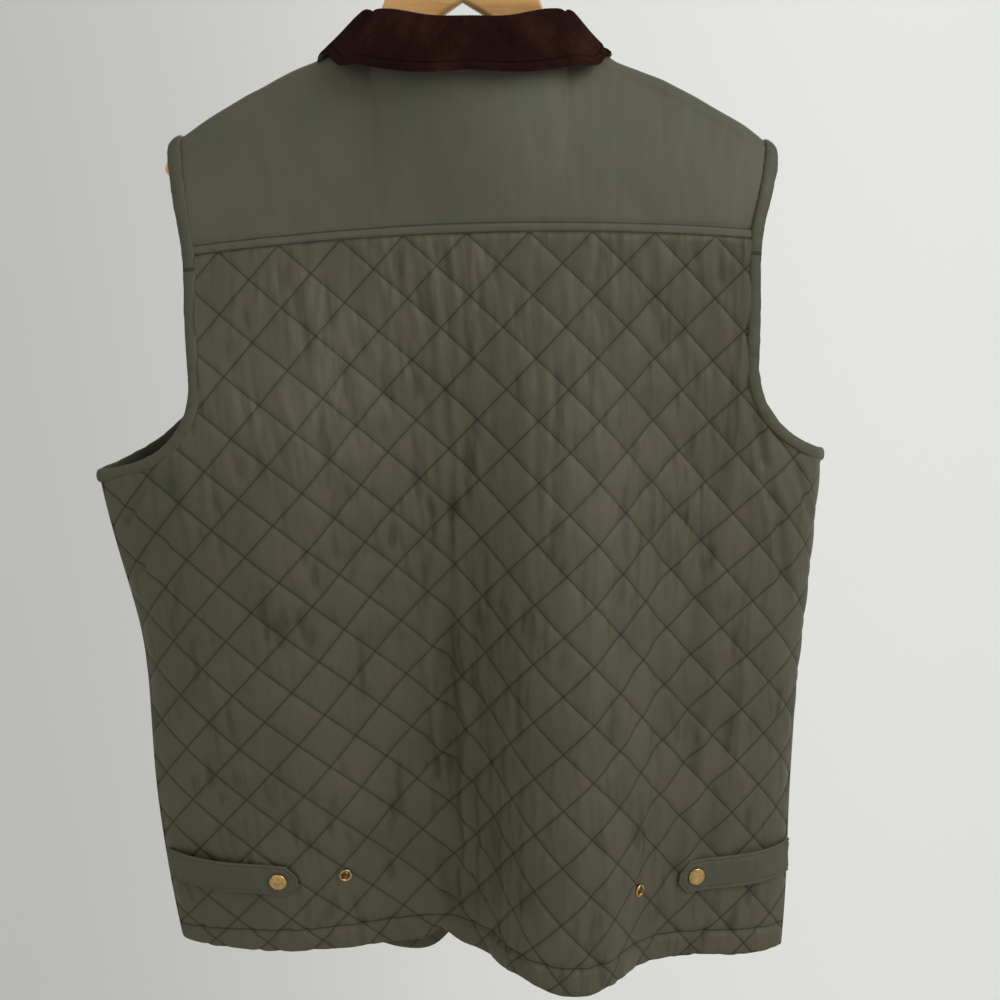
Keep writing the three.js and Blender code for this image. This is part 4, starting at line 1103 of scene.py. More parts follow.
def lattice_faces(across, below, s, t):
    """Triangles over a grid of the pattern, cut along the nearer quilting line.

    across and below are the grid after it is drawn in to the panel's outline, and s and t
    are its own places. Corners that the outline draws together become one."""
    rows, columns = across.shape
    index = np.arange(rows * columns).reshape(rows, columns)
    a, b = index[:-1, :-1].ravel(), index[:-1, 1:].ravel()
    c, d = index[1:, 1:].ravel(), index[1:, :-1].ravel()
    middle_s, middle_t = (sum(way.ravel()[k] for k in (a, b, c, d)) / 4 for way in (s, t))
    one, two = seam_distances(middle_s, middle_t)
    falling = (two < one)[:, None]
    first = np.where(falling, np.stack([a, b, c], -1), np.stack([a, b, d], -1))
    second = np.where(falling, np.stack([a, c, d], -1), np.stack([b, c, d], -1))
    faces = np.concatenate([first, second])
    place = np.stack([across.ravel(), below.ravel()], -1)
    _, keep, merged = np.unique(np.round(place, 3), axis=0, return_index=True, return_inverse=True)
    faces = merged.ravel()[faces]
    whole = (faces[:, 0] != faces[:, 1]) & (faces[:, 1] != faces[:, 2]) & (faces[:, 2] != faces[:, 0])
    faces = faces[whole]
    p = place[keep][faces]
    one, two = p[:, 1] - p[:, 0], p[:, 2] - p[:, 0]
    faces = faces[np.abs(one[:, 0] * two[:, 1] - one[:, 1] * two[:, 0]) > LEAST_AREA]
    used, faces = np.unique(faces, return_inverse=True)
    return place[keep][used], faces.reshape(-1, 3)


def two_faced(name, outer, inner, faces, outside, inside, uv, turned_up):
    """A closed sheet: an outer face, an inner face and the rim between their free edges."""
    edges = np.concatenate([faces[:, [0, 1]], faces[:, [1, 2]], faces[:, [2, 0]]])
    size = len(outer)
    code = edges[:, 0] * size + edges[:, 1]
    back = edges[:, 1] * size + edges[:, 0]
    rim = edges[~np.isin(code, back)]
    low, high = rim[:, 0], rim[:, 1]
    first = np.stack([low, low + size, high + size], -1)
    second = np.stack([low, high + size, high], -1)
    verts = np.concatenate([outer, inner])
    every = facing_out(verts, [np.concatenate([faces, first, second, faces[:, ::-1] + size])])
    lined = ~turned_up[faces].all(axis=1)
    uses = np.concatenate([np.zeros(len(faces) + 2 * len(rim)), lined])
    return piece(name, verts, every, [outside, inside], np.concatenate([uv, uv]), uses)


def quilted_sheet(name, place, relief, to_outline, span, hem, shell):
    """One quilted panel over a span of the pattern: (least, most) across and below."""
    (s0, s1), (t0, t1) = span
    first, last = (s0 - QUILT_CENTRE) / CELL, (s1 - QUILT_CENTRE) / CELL
    s = QUILT_CENTRE + CELL * np.arange(math.floor(first), last + 1)
    t = CELL * np.arange(math.floor(t0 / CELL), t1 / CELL + 1)
    s, t = np.meshgrid(s, t)
    at, faces = lattice_faces(*to_outline(s, t), s, t)
    across, below = at[:, 0], at[:, 1]
    fullness = rounded(np.maximum(hem(across) - below, 0), HEM_ROUND)
    middle = -WALL / 2
    high = relief(across, below)
    low = np.minimum(-WALL, high - LEAST_WALL)
    outer = place(across, below, mix(middle, high, fullness))
    inner = place(across, below, mix(middle, low, fullness))
    uv = np.stack([across, -below], axis=-1)
    turned_up = hem(across) - below < HEM_STITCH
    return two_faced(name, outer, inner, faces, shell, lining_cloth, uv, turned_up)


def within_back(s, t):
    below = np.clip(t, SEAM_GAP, BACK_LENGTH)
    edge = panel_edge(YOKE_HALF, below)
    return np.clip(s, -edge, edge), below


def back_panel():
    span = ((-CHEST_HALF, CHEST_HALF), (0.0, BACK_LENGTH))

    def level(across):
        return np.full_like(across, BACK_LENGTH)

    return quilted_sheet("quilted_back", off_back_hem, back_relief, within_back, span, level, back_cloth)


def front_top(sign, across):
    """The level of a front's top edge at a place across."""
    across = np.clip(np.abs(across), FRONT_EDGE, YOKE_HALF)
    shoulder = shoulder_below(sign * across) + SHOULDER_GAP
    neck = neck_below(sign, np.minimum(across, FRONT_NECK_END))
    return np.where(across < FRONT_NECK_END, neck, shoulder)


def front_edge(sign, below):
    """How far across a front reaches at a level."""
    rise = shoulder_below(sign * YOKE_HALF)
    up = np.clip(below / rise, 0, 1)
    low = panel_edge(FRONT_INNER, np.maximum(below, 0))
    return np.where(below < 0, mix(FRONT_INNER, YOKE_HALF, smooth(up)), low)


def front_panel(sign):
    def to_outline(s, t):
        far = np.clip(sign * s, FRONT_EDGE, front_edge(sign, t))
        below = np.clip(t, front_top(sign, far), hem_below(far))
        return sign * np.clip(far, FRONT_EDGE, front_edge(sign, below)), below

    spread = sorted((sign * FRONT_EDGE, sign * CHEST_HALF))
    highest = float(front_top(sign, np.linspace(FRONT_EDGE, YOKE_HALF, 80)).min())
    span = (spread, (highest, BACK_LENGTH + FRONT_DROP))
    name = "quilted_front_" + SIDES[sign]
    return quilted_sheet(name, off_front, front_relief, to_outline, span, hem_below, quilt_cloth)


EDGE_CLEAR = 3.0  # from the last stitch to an edge of its panel, in millimetres
HEM_CLEAR = 3.5
YOKE_CLEAR = 1.0
PLACKET_CLEAR = 24.0
FRONT_HIGHEST = -140.0

back = back_panel()
dressed(back, "back_panel")
levels = np.linspace(0, BACK_LENGTH, 400)
edges = panel_edge(YOKE_HALF, levels)

fronts = {}
for sign, side in SIDES.items():
    fronts[sign] = front_panel(sign)
    dressed(fronts[sign], "front_" + side)


def inside_back(across, below):
    within = np.abs(across) < panel_edge(YOKE_HALF, below) - EDGE_CLEAR
    return within & (below > YOKE_CLEAR) & (below < BACK_LENGTH - HEM_CLEAR)


def inside_front(sign):
    def inside(across, below):
        far = sign * across
        within = (far > PLACKET_CLEAR) & (far < front_edge(sign, below) - EDGE_CLEAR)
        top, hem = front_top(sign, across) + EDGE_CLEAR, hem_below(across) - HEM_CLEAR
        return within & (below > top) & (below < hem)

    return inside


back_stitches = Stitches()
quilting_rows(back_stitches, on_back, YOKE_CLEAR, BACK_LENGTH, inside_back)
back_quilting = back_stitches.make("quilting_back", quilt_thread)

hem_stitches = Stitches()
hem_level = BACK_LENGTH - HEM_STITCH
hem_half = half_width(hem_level) - EDGE_CLEAR
hem_across = np.linspace(-1, 1, 500) * hem_half
hem_stitches.follow(on_back, hem_across, np.full_like(hem_across, hem_level))
for sign, side in SIDES.items():
    sewn = Stitches()
    quilting_rows(sewn, on_front, FRONT_HIGHEST, BACK_LENGTH + FRONT_DROP, inside_front(sign))
    sewn.make("quilting_front_" + side, quilt_thread)
    front_run = sign * np.linspace(PLACKET_CLEAR + 1, hem_half, 260)
    hem_stitches.follow(on_front, front_run, hem_below(front_run) - HEM_STITCH)

# The yoke, up from its seam and over the shoulders


HALVINGS = 40


def across_of(x):
    """The place along the yoke seam whose column reaches x at the neck."""
    low = np.full(np.shape(x), -YOKE_HALF)
    high = -low
    for _ in range(HALVINGS):
        middle = (low + high) / 2
        under = flare(back_x(middle, np.zeros_like(middle))) < x
        low, high = np.where(under, middle, low), np.where(under, high, middle)
    return (low + high) / 2


RIDGE_SHARE = 0.88
YOKE_OVER = 0.9  # its folded edge lies this far over the top of the quilted back
YOKE_EDGE_AT = -0.2
YOKE_ROUND = 1.2
YOKE_THINNEST, YOKE_THICKENED = 0.4, 4.0
NECK_COLUMNS = 61
SIDE_COLUMNS = 64
YOKE_LOW_EDGE = 0.1  # the share of the yoke with finer rows, at its seam
YOKE_EDGE_ROWS = 9
YOKE_ROWS = 46
YOKE_TOP_ROWS = 13
EDGE_SEWING = 1.6


def yoke():
    neck = SHOULDER_X + NECK_HALF * np.sin(np.linspace(-math.pi / 2, math.pi / 2, NECK_COLUMNS))
    middle = across_of(neck)
    left = np.linspace(-YOKE_HALF, middle[0], SIDE_COLUMNS)[:-1]
    right = np.linspace(middle[-1], YOKE_HALF, SIDE_COLUMNS)[1:]
    across = np.concatenate([left, middle, right])
    *_, turned, flat = yoke_column(across)
    length = flat + turned * RIDGE
    share = np.minimum(flat / length, RIDGE_SHARE)
    edge = np.linspace(0, YOKE_LOW_EDGE, YOKE_EDGE_ROWS)[:-1]
    low = np.concatenate([edge, np.linspace(YOKE_LOW_EDGE, 1, YOKE_ROWS)])
    high = np.linspace(0, 1, YOKE_TOP_ROWS)[1:]
    start = -YOKE_OVER / length
    up = np.concatenate([mix(start, share, low[:, None]), mix(share, 1.0, high[:, None])])
    across = np.broadcast_to(across, up.shape)
    relief = yoke_relief(across, up, length)
    way = (up - start) * length
    fullness = rounded(way, YOKE_ROUND)
    lined = fullness * eased(way, YOKE_THINNEST, YOKE_THICKENED)
    outer = off_yoke(across, up, mix(YOKE_EDGE_AT, relief, fullness))
    inner = off_yoke(across, up, mix(YOKE_EDGE_AT, -WALL, lined))
    uv = np.stack([across, up * length], axis=-1)
    return slab("back_yoke_cloth", outer, inner, yoke_cloth, lining_cloth, uv)


back_yoke = yoke()
dressed(back_yoke, "back_yoke")
yoke_run = np.linspace(-YOKE_HALF + 2, YOKE_HALF - 2, 300)
for way in (YOKE_STITCH, EDGE_SEWING):
    hem_stitches.follow(on_yoke, yoke_run, way / yoke_length(yoke_run))
edge_stitching = hem_stitches.make("edge_stitching", edge_thread)

# The bindings round the armholes

BINDING_SECTION = ((0.0, 0.5), (0.45, 0.75), (0.85, 0.45), (1.0, 0.0), (0.85, -0.45), (0.0, -0.5))
BINDING_SWELLS = ((0.09, 7.0, 1, 101), (0.05, 2.8, 1, 105))
BINDING_ROW = 0.3
BINDING_FINE = 9
BINDING_LEVELS = (12.0, 45.0)
OVER_SHOULDER = (0.98, 0.94, 0.9, 0.86, 0.82, 0.78, 0.72, 0.6, 0.45, 0.3, 0.1)
ARMHOLE_STEPS = 12


def armhole_path(half_at_seam):
    angle = np.arange(ARMHOLE_STEPS + 1) / ARMHOLE_STEPS * (math.pi / 2)
    return np.stack(armhole_curve(half_at_seam, angle), axis=-1)


def outward_of(path, k):
    a, b = path[max(k - 1, 0)], path[min(k + 1, len(path) - 1)]
    return unit(np.array([b[1] - a[1], a[0] - b[0]]))


def seam_ring(sign, reach, high):
    """The binding's ring over the side seam, where the back and the front meet."""
    near = np.array([sign * (CHEST_HALF - EDGE_CLEAR)])
    one = normal_at(back_surface, near, UNDERARM, NORMAL_STEP, 1)[0]
    two = normal_at(front_surface, near, UNDERARM, NORMAL_STEP, -1)[0]
    out = unit(one + two)
    seam = back_surface(np.full(len(reach), sign * CHEST_HALF), UNDERARM - reach)
    return seam + high[:, None] * out


def binding_rings(sign, section):
    """Rings of the tube: down the back's armhole, up the front's and over the shoulder."""
    out, high = np.array(section).T
    high = (high - BINDING_IN) * BINDING_THICK
    rings = []
    back_path = np.concatenate([[(YOKE_HALF, level) for level in BINDING_LEVELS], armhole_path(YOKE_HALF)])
    reach = mix(-BINDING_LAP, BINDING, out)
    for k in range(len(back_path) - 1):
        a = back_path[k] + outward_of(back_path, k) * reach[:, None]
        rings.append(off_back(sign * a[:, 0], a[:, 1], high))
    rise = shoulder_below(sign * YOKE_HALF)
    upper = [(mix(FRONT_INNER, YOKE_HALF, smooth(q)), rise * q) for q in (0.75, 0.5, 0.25, 0.0)]
    front_path = np.concatenate([upper, [(FRONT_INNER, BINDING_LEVELS[1])], armhole_path(FRONT_INNER)])
    rings.append(seam_ring(sign, reach, high))
    for k in range(len(front_path) - 2, -1, -1):
        a = front_path[k] + outward_of(front_path, k) * reach[:, None]
        rings.append(off_front(sign * a[:, 0], a[:, 1], high))
    for up in OVER_SHOULDER:
        rings.append(off_yoke(sign * (YOKE_HALF + reach), up, high))
    return np.array(rings)


def binding(sign):
    rings = through(binding_rings(sign, BINDING_SECTION), BINDING_FINE, closed=True)
    rings = np.swapaxes(through(np.swapaxes(rings, 0, 1), 3, closed=True), 0, 1)
    centre = rings.mean(1, keepdims=True)
    run = np.cumsum(np.linalg.norm(np.diff(centre[:, 0], axis=0, prepend=centre[:1, 0]), axis=-1))
    swell = 1 + sum(wrinkled(kind, run, BINDING_ROW, sign) for kind in BINDING_SWELLS)[:, None, None]
    return loft("armhole_edge_" + SIDES[sign], centre + (rings - centre) * swell, trim_cloth, True)


bindings = {}
for sign, side in SIDES.items():
    bindings[sign] = binding(sign)
    dressed(bindings[sign], "armhole_binding_" + side)

# The collar

COLLAR_THICK = 2.6
COLLAR_STAND = 19.0
COLLAR_SECTIONS = table(
    "round reach drop",
    (0, 14, 16),
    (0.25, 20, 19),
    (0.42, 33, 13),
    (0.5, 39, 8),
    (0.58, 29, 11),
    (0.7, 21, 34),
    (1, 20, 46),
)
COLLAR_FOLD = ((0, COLLAR_STAND * 0.8), (2.2, COLLAR_STAND), (4.6, COLLAR_STAND - 1.2))
COLLAR_OVER = 6.5  # where the fall starts: out from the stand and down from its top
COLLAR_UNDER = 5
COLLAR_FALL = (0.25, 0.6, 1)
COLLAR_RIGHT_FROM, COLLAR_RIGHT_FULL = 0.3, 0.48
COLLAR_FINE = 40
COLLAR_FINE_DOWN = 5
COLLAR_WAVE_FROM, COLLAR_WAVE_FULL = 12, 26
COLLAR_FRONT = 0.955
COLLAR_STATIONS = 38
COLLAR_SPREAD = 0.05
OUTWARD_TURN = 3.3
COLLAR_LIFT = 2.4
INSIDE_NECK = 0.999
COLLAR_MIDDLE = -4.2
COLLAR_TOP = -123.0
COLLAR_TOP_HALF = 74.0
COLLAR_SLOPE_LEFT = 0.9
COLLAR_SLOPE_RIGHT = 1.1
COLLAR_RIGHT_SHARE = 0.77  # the collar reaches less far out on the right
ON_SHOULDER = 2.6  # from the yoke's cut to the middle of the collar's thickness
WALE = 2.2
WALE_STEPS = 6
WALE_HIGH = 0.42
WALE_LOW = 0.2
WALE_WANDER = (0.5, 9, 16, 121)
COLLAR_WAVE = (0.7, 26, 20, 122)
COLLAR_GROOVE = -1.3
COLLAR_GROOVE_HALF = 1.0
COLLAR_EDGE = 2.2
COLLAR_COLUMN = 18  # the column along which the wales are spaced


def neck_point(place):
    """The neck seam: 0 at centre back, 0.5 at the shoulder seams and 1 at centre front."""
    sign = 1.0 if place >= 0 else -1.0
    far = abs(place)
    if far <= 0.5:
        x = SHOULDER_X + sign * NECK_HALF * math.sin(math.pi * far) * INSIDE_NECK
        return yoke_surface(across_of(np.array([x])), np.array([1.0]))[0]
    across = FRONT_NECK_END * 2 * (1 - far)
    return front_surface(np.array([sign * across]), np.atleast_1d(neck_below(sign, across)))[0]


def settled(line):
    """The collar lies in a straight slope over the shoulders and rests on them."""
    x, y = line[:, 0], line[:, 1]
    slope = np.where(x > COLLAR_MIDDLE, COLLAR_SLOPE_LEFT, COLLAR_SLOPE_RIGHT)
    ceiling = COLLAR_TOP - slope * np.maximum(np.abs(x - COLLAR_MIDDLE) - COLLAR_TOP_HALF, 0)
    ground = ridge(x) - RIDGE + np.sqrt(np.maximum(RIDGE**2 - y**2, 0)) + ON_SHOULDER
    over = (np.abs(y) < RIDGE) & (np.abs(x - SHOULDER_X) > NECK_HALF + ON_SHOULDER)
    z = np.minimum(line[:, 2], ceiling)
    return points(x, y, np.where(over, np.maximum(z, ground), z))


def collar_line(place):
    """The middle of the collar's thickness at one station, from the neck seam to its edge."""
    far = abs(place)
    way = far if far < 0.5 else min(0.5 + (far - 0.5) * OUTWARD_TURN, 1)
    outward = np.array([np.sign(place) * math.sin(math.pi * way), math.cos(math.pi * way), 0])
    one = neck_point(min(place + COLLAR_SPREAD, 1))
    two = neck_point(max(place - COLLAR_SPREAD, -1))
    tangent = unit(one - two)
    outward = unit(outward - outward.dot(tangent) * tangent)
    rising = unit(np.cross(outward, tangent))
    if rising[2] < 0:
        rising = -rising
    reach = float(along(COLLAR_SECTIONS, "reach", far, "round"))
    if place < 0:
        rightward = float(eased(far, COLLAR_RIGHT_FROM, COLLAR_RIGHT_FULL))
        reach *= mix(1, COLLAR_RIGHT_SHARE, rightward)
    drop = float(along(COLLAR_SECTIONS, "drop", far, "round"))
    line = [(0, COLLAR_LIFT), *COLLAR_FOLD]
    for q in COLLAR_FALL:
        line.append((mix(COLLAR_OVER, reach, q), mix(COLLAR_STAND - COLLAR_UNDER, -drop, q)))
    seam = neck_point(place)
    return settled(np.array([seam + out * outward + up * rising for out, up in line]))


def collar():
    stations = np.linspace(-COLLAR_FRONT, COLLAR_FRONT, COLLAR_STATIONS + 1)
    lines = np.array([collar_line(place) for place in stations])
    fine = through(lines, COLLAR_FINE)
    fine = np.swapaxes(through(np.swapaxes(fine, 0, 1), COLLAR_FINE_DOWN), 0, 1)
    run = run_along(fine[:, COLLAR_COLUMN])
    wales = round(run[-1] / WALE)
    at = np.linspace(0, run[-1], wales * WALE_STEPS + 1)
    place = np.interp(at, run, np.arange(len(fine)))
    k = np.minimum(place.astype(int), len(fine) - 2)
    middle = mix(fine[k], fine[k + 1], (place - k)[:, None, None])
    normal = unit(np.cross(np.gradient(middle, axis=0), np.gradient(middle, axis=1)))
    inside = np.linalg.norm(np.diff(middle, axis=1), axis=-1)
    fall = np.concatenate([np.zeros((len(at), 1)), np.cumsum(inside, axis=1)], axis=1)
    edge = fall[:, -1:] - fall
    along_it = at[:, None]
    fullness = rounded(np.minimum(edge, np.minimum(along_it, run[-1] - along_it)), COLLAR_EDGE)
    wander = wrinkled(WALE_WANDER, along_it, fall)
    wale = np.abs(np.sin(math.pi * (along_it + wander) / WALE))
    groove = COLLAR_GROOVE * bell(edge - YOKE_STITCH, COLLAR_GROOVE_HALF)
    wave = wrinkled(COLLAR_WAVE, along_it, fall) * eased(fall, COLLAR_WAVE_FROM, COLLAR_WAVE_FULL)
    top = COLLAR_THICK / 2 * fullness + (WALE_HIGH * wale - WALE_LOW) * fullness + groove + wave
    low = -COLLAR_THICK / 2 * fullness + wave
    outer = middle + normal * top[..., None]
    inner = middle + normal * low[..., None]
    uv = np.stack([np.broadcast_to(along_it, fall.shape), -edge], axis=-1)
    made = slab("corduroy_collar", outer, inner, corduroy_cloth, trim_cloth, uv)
    return made, middle, normal, edge, wave


collar_piece, collar_middle, collar_normal, collar_edge, collar_wave = collar()
dressed(collar_piece, "collar")

# The placket, tabs and snaps

PLACKET_HALF = 22.0
PLACKET_THICK = 2.2
PLACKET_TOP = -52.0
PLACKET_UNDER = 3.0
TAB_ENDS = {1: 174.0, -1: 179.0}
TAB_SEAM = 281.0
TAB_HALF = 14.0
TAB_POINT = 8.0
TAB_BELOW = 503.0
TAB_RISES = {1: 16.0, -1: 10.0}
TAB_THICK = 2.2
TAB_BOW = 2.8
TAB_BOW_FROM = 0.2
CAP_IN = 15.0
STUD_AT = 137.0
EDGE_STITCH = 3.0
TRIM_ROUND = 1.6
TRIM_COLUMNS = 33
TAB_ROWS = 110
TAB_SPACING = 1.2
TAB_SQUARE = 0.3  # the part of the tab's end, out from its middle, that is cut straight
PLACKET_ROWS = 300
TAB_PUCKERS = (0.5, 3.8, 16, 141)
TAB_PUCKER_REACH = 4
TAB_WRINKLES = (0.45, 7.0, 12, 142)
TAB_GROOVE = -0.7
TAB_GROOVE_HALF = 0.8
PLACKET_PUCKERS = (0.3, 30, 6.0, 131)
PLACKET_PUCKER_REACH = 3
PLACKET_GROOVE = -0.5
PLACKET_GROOVE_HALF = 0.9


def tab_centre(sign, across):
    way = (across - TAB_ENDS[sign]) / (TAB_SEAM - TAB_ENDS[sign])
    return TAB_BELOW - TAB_RISES[sign] * np.clip(way, 0, 1)


def placket_top(across):
    left, right = (neck_below(sign, np.abs(across)) for sign in SIDES)
    return np.maximum(PLACKET_TOP, np.where(across < 0, right, left) + PLACKET_UNDER)


def placket():
    columns = np.linspace(-PLACKET_HALF, PLACKET_HALF, TRIM_COLUMNS)
    across, q = np.meshgrid(columns, np.linspace(0, 1, PLACKET_ROWS))
    top, low = placket_top(across), hem_below(across)
    below = mix(top, low, q)
    side = np.minimum(PLACKET_HALF - np.abs(across), np.minimum(below - top, low - below))
    fullness = rounded(side, TRIM_ROUND)
    near_stitch = fading(np.abs(side - EDGE_STITCH), PLACKET_PUCKER_REACH)
    puckers = wrinkled(PLACKET_PUCKERS, across, below) * near_stitch
    groove = PLACKET_GROOVE * bell(side - EDGE_STITCH, PLACKET_GROOVE_HALF)
    out = ON_QUILTING + PLACKET_THICK * fullness + (groove + puckers) * fullness
    outer = off_front(across, below, out)
    inner = off_front(across, below, ON_QUILTING)
    uv = np.stack([across, -below], axis=-1)
    return slab("front_placket", outer, inner, trim_cloth, None, uv)


placket_piece = placket()
dressed(placket_piece, "placket")


def tab_lift(q):
    """The tab bows off the cloth between its seam and its snap."""
    return ON_QUILTING + TAB_BOW * np.sin(math.pi * np.clip((q - TAB_BOW_FROM) / (1 - TAB_BOW_FROM), 0, 1))


def tab_out(across, below, q, side):
    near_stitch = fading(np.abs(side - EDGE_STITCH), TAB_PUCKER_REACH)
    puckers = wrinkled(TAB_PUCKERS, across, below) * near_stitch
    groove = TAB_GROOVE * bell(side - EDGE_STITCH, TAB_GROOVE_HALF)
    return tab_lift(q) + TAB_THICK + groove + puckers + wrinkled(TAB_WRINKLES, across, below)


def tab_cut(sign, q, v):
    """A point of the tab's cut, and how far in from its edge: q along it from its end, v across."""
    corner = np.clip((np.abs(v) - TAB_SQUARE) / (1 - TAB_SQUARE), 0, 1)
    end = TAB_ENDS[sign] + TAB_POINT * corner
    across = mix(end, TAB_SEAM, q)
    side = np.minimum((1 - np.abs(v)) * TAB_HALF, across - end)
    return across, tab_centre(sign, across) + v * TAB_HALF, side


def on_tab(sign):
    def place(q, v, out=0.0):
        across, below, side = tab_cut(sign, q, v)
        return off_back(sign * across, below, tab_out(across, below, q, side) + out)

    return place


def tab(sign):
    v, q = np.meshgrid(np.linspace(-1, 1, TRIM_COLUMNS), np.linspace(0, 1, TAB_ROWS) ** TAB_SPACING)
    across, below, side = tab_cut(sign, q, v)
    fullness = rounded(side, TRIM_ROUND)
    low = tab_lift(q)
    high = mix(low + TAB_THICK / 2, tab_out(across, below, q, side), fullness)
    outer = off_back(sign * across, below, high)
    inner = off_back(sign * across, below, mix(low + TAB_THICK / 2, low, fullness))
    uv = np.stack([across, below], axis=-1)
    return slab("adjuster_" + SIDES[sign], outer, inner, trim_cloth, None, uv)


tabs = {}
for sign, side in SIDES.items():
    tabs[sign] = tab(sign)
    dressed(tabs[sign], "tab_" + side)

trim_stitches = Stitches()
inset = 1 - EDGE_STITCH / TAB_HALF
for sign in SIDES:
    tip = EDGE_STITCH / (TAB_SEAM - TAB_ENDS[sign])
    v_path = np.concatenate([np.full(60, -inset), np.linspace(-inset, inset, 30), np.full(60, inset)])
    q_path = np.concatenate([np.linspace(1, tip, 60), np.full(30, tip), np.linspace(tip, 1, 60)])
    trim_stitches.follow(on_tab(sign), q_path, v_path)


def on_placket(across, below, out=0.0):
    return off_front(across, below, ON_QUILTING + PLACKET_THICK + PLACKET_GROOVE + out)


for edge in (EDGE_STITCH - PLACKET_HALF, PLACKET_HALF - EDGE_STITCH):
    top = float(placket_top(np.array(edge)))
    run = np.linspace(top + EDGE_STITCH, float(hem_below(edge)) - EDGE_STITCH, 400)
    trim_stitches.follow(on_placket, np.full_like(run, edge), run)
trim_stitching = trim_stitches.make("trim_stitching", edge_thread)


COLLAR_SEWN_IN = 0.75
COLLAR_UNSEWN = 30
COLLAR_PITCH = 2.6


def collar_sewing():
    """The topstitch round the collar's fall, above its edge."""
    columns = np.arange(len(collar_middle))
    k = np.argmin(np.abs(collar_edge - YOKE_STITCH), axis=1)
    lift = COLLAR_THICK / 2 - COLLAR_SEWN_IN + collar_wave[columns, k]
    rows = collar_middle[columns, k], collar_normal[columns, k], lift[:, None]

    def place(u, v, out=0.0):
        i = np.clip(u, 0, len(columns) - 1.001)
        low = i.astype(int)
        spot, way, high = (mix(row[low], row[low + 1], (i - low)[:, None]) for row in rows)
        return spot + way * (high + out)

    sewn = Stitches()
    run = np.arange(COLLAR_UNSEWN, len(columns) - COLLAR_UNSEWN).astype(float)
    sewn.follow(place, run, np.zeros_like(run), COLLAR_PITCH)
    return sewn.make("collar_stitching", collar_thread)


collar_stitching = collar_sewing()

# Snaps, turned: distance from the axis and height
CAP_PROFILE = [(0, 0), (7, 0), (7, 0.7), (6.85, 1.2), (6.4, 1.6)]
CAP_PROFILE += [(6, 1.62), (5.7, 1.72), (4, 1.95), (2, 2.08), (0, 2.1)]
STUD_RING = [(3, 0), (5.2, 0), (5.25, 0.5), (4.9, 1), (4.3, 1.15), (3.8, 0.9), (3.4, 0.35), (3, 0)]
STUD_POST = [(0, 0), (3.6, 0), (3.5, 0.3), (1.9, 0.45), (1.6, 1.4), (1.95, 2), (1.5, 2.5), (0, 2.6)]
ROUND_SIDES = 40
CAP_SINK = 0.1
STUD_SINK = 0.6
FRONT_SNAPS = 6
FRONT_SNAP_FROM, FRONT_SNAP_TO = -34.0, 500.0


def turned(name, profile, foot, axis, metal_used):
    """A lathe-turned piece that stands on foot along axis."""
    profile = np.array(profile, float)
    angle = 2 * math.pi * np.arange(ROUND_SIDES) / ROUND_SIDES
    one = unit(np.cross(axis, [1.0, 0.0, 0.0]))
    two = np.cross(axis, one)
    way = np.cos(angle)[:, None] * one + np.sin(angle)[:, None] * two
    rings = foot + profile[:, None, :1] * way[None] + profile[:, None, 1:] * axis
    verts = rings.reshape(-1, 3)
    faces = [grid_faces(len(profile), ROUND_SIDES, closed=True)]
    return piece(name, verts, facing_out(verts, faces), [metal_used])


def snap_at(place, u, v, lift):
    foot, top = (place(np.array([u]), np.array([v]), np.array([lift + up]))[0] for up in (0, 1))
    return foot, top - foot


for k, level in enumerate(np.linspace(FRONT_SNAP_FROM, FRONT_SNAP_TO, FRONT_SNAPS)):
    foot, axis = snap_at(off_front, 0.0, float(level), ON_QUILTING + PLACKET_THICK - CAP_SINK)
    cap = turned(f"front_snap_{k + 1}", CAP_PROFILE, foot, axis, brass)
    dressed(cap, f"front_cap_{k + 1}")
for sign, side in SIDES.items():
    at = TAB_ENDS[sign] + CAP_IN
    lift = float(tab_lift(CAP_IN / (TAB_SEAM - TAB_ENDS[sign]))) + TAB_THICK
    foot, axis = snap_at(off_back, sign * at, float(tab_centre(sign, at)), lift)
    cap = turned("tab_snap_" + side, CAP_PROFILE, foot, axis, brass)
    dressed(cap, "tab_cap_" + side)
    foot, axis = snap_at(off_back, sign * STUD_AT, TAB_BELOW, ON_QUILTING - STUD_SINK)
    ring = turned("stud_ring_" + side, STUD_RING, foot, axis, brass)
    post = turned("stud_post_" + side, STUD_POST, foot, axis, dark_brass)
    dressed(ring, "stud_" + side)

# The hanger

ARM_CLEAR = 4.8
ARM_TALL = 20.0
ARM_THICK = 12.5
ARM_END = 219.0
HANGER_TOP = -75.0
HUMP = table(
    "out top", (0, HANGER_TOP), (22, -78.5), (41, -90), (53.5, -107), (59.5, -122), (66, -136)
)
VEE_Z = -114.5
WOOD_BEVEL = 5.0
TIP_ROUND = 8.0
TIP_LEAST = 0.3
HUMP_STEPS = 42
ARM_STEPS = 36
TIP_STEPS = 9
BEVEL_STEPS = 7
HOOK_INSIDE = 20.0
HOOK_WIRE = 2.0
HOOK_FROM = 205.0
HOOK_TO = -40.0
HOOK_TURN = 17.5
HOOK_TIP = 0.6
HOOK_SIDES = 16
HOOK_STEPS = 12
HOOK_ROUND = 40  # how quickly the wire's end is rounded
SHANK = ((4, 0, -50), (0, 0, -58), (-1, 0, HANGER_TOP - 1.5))


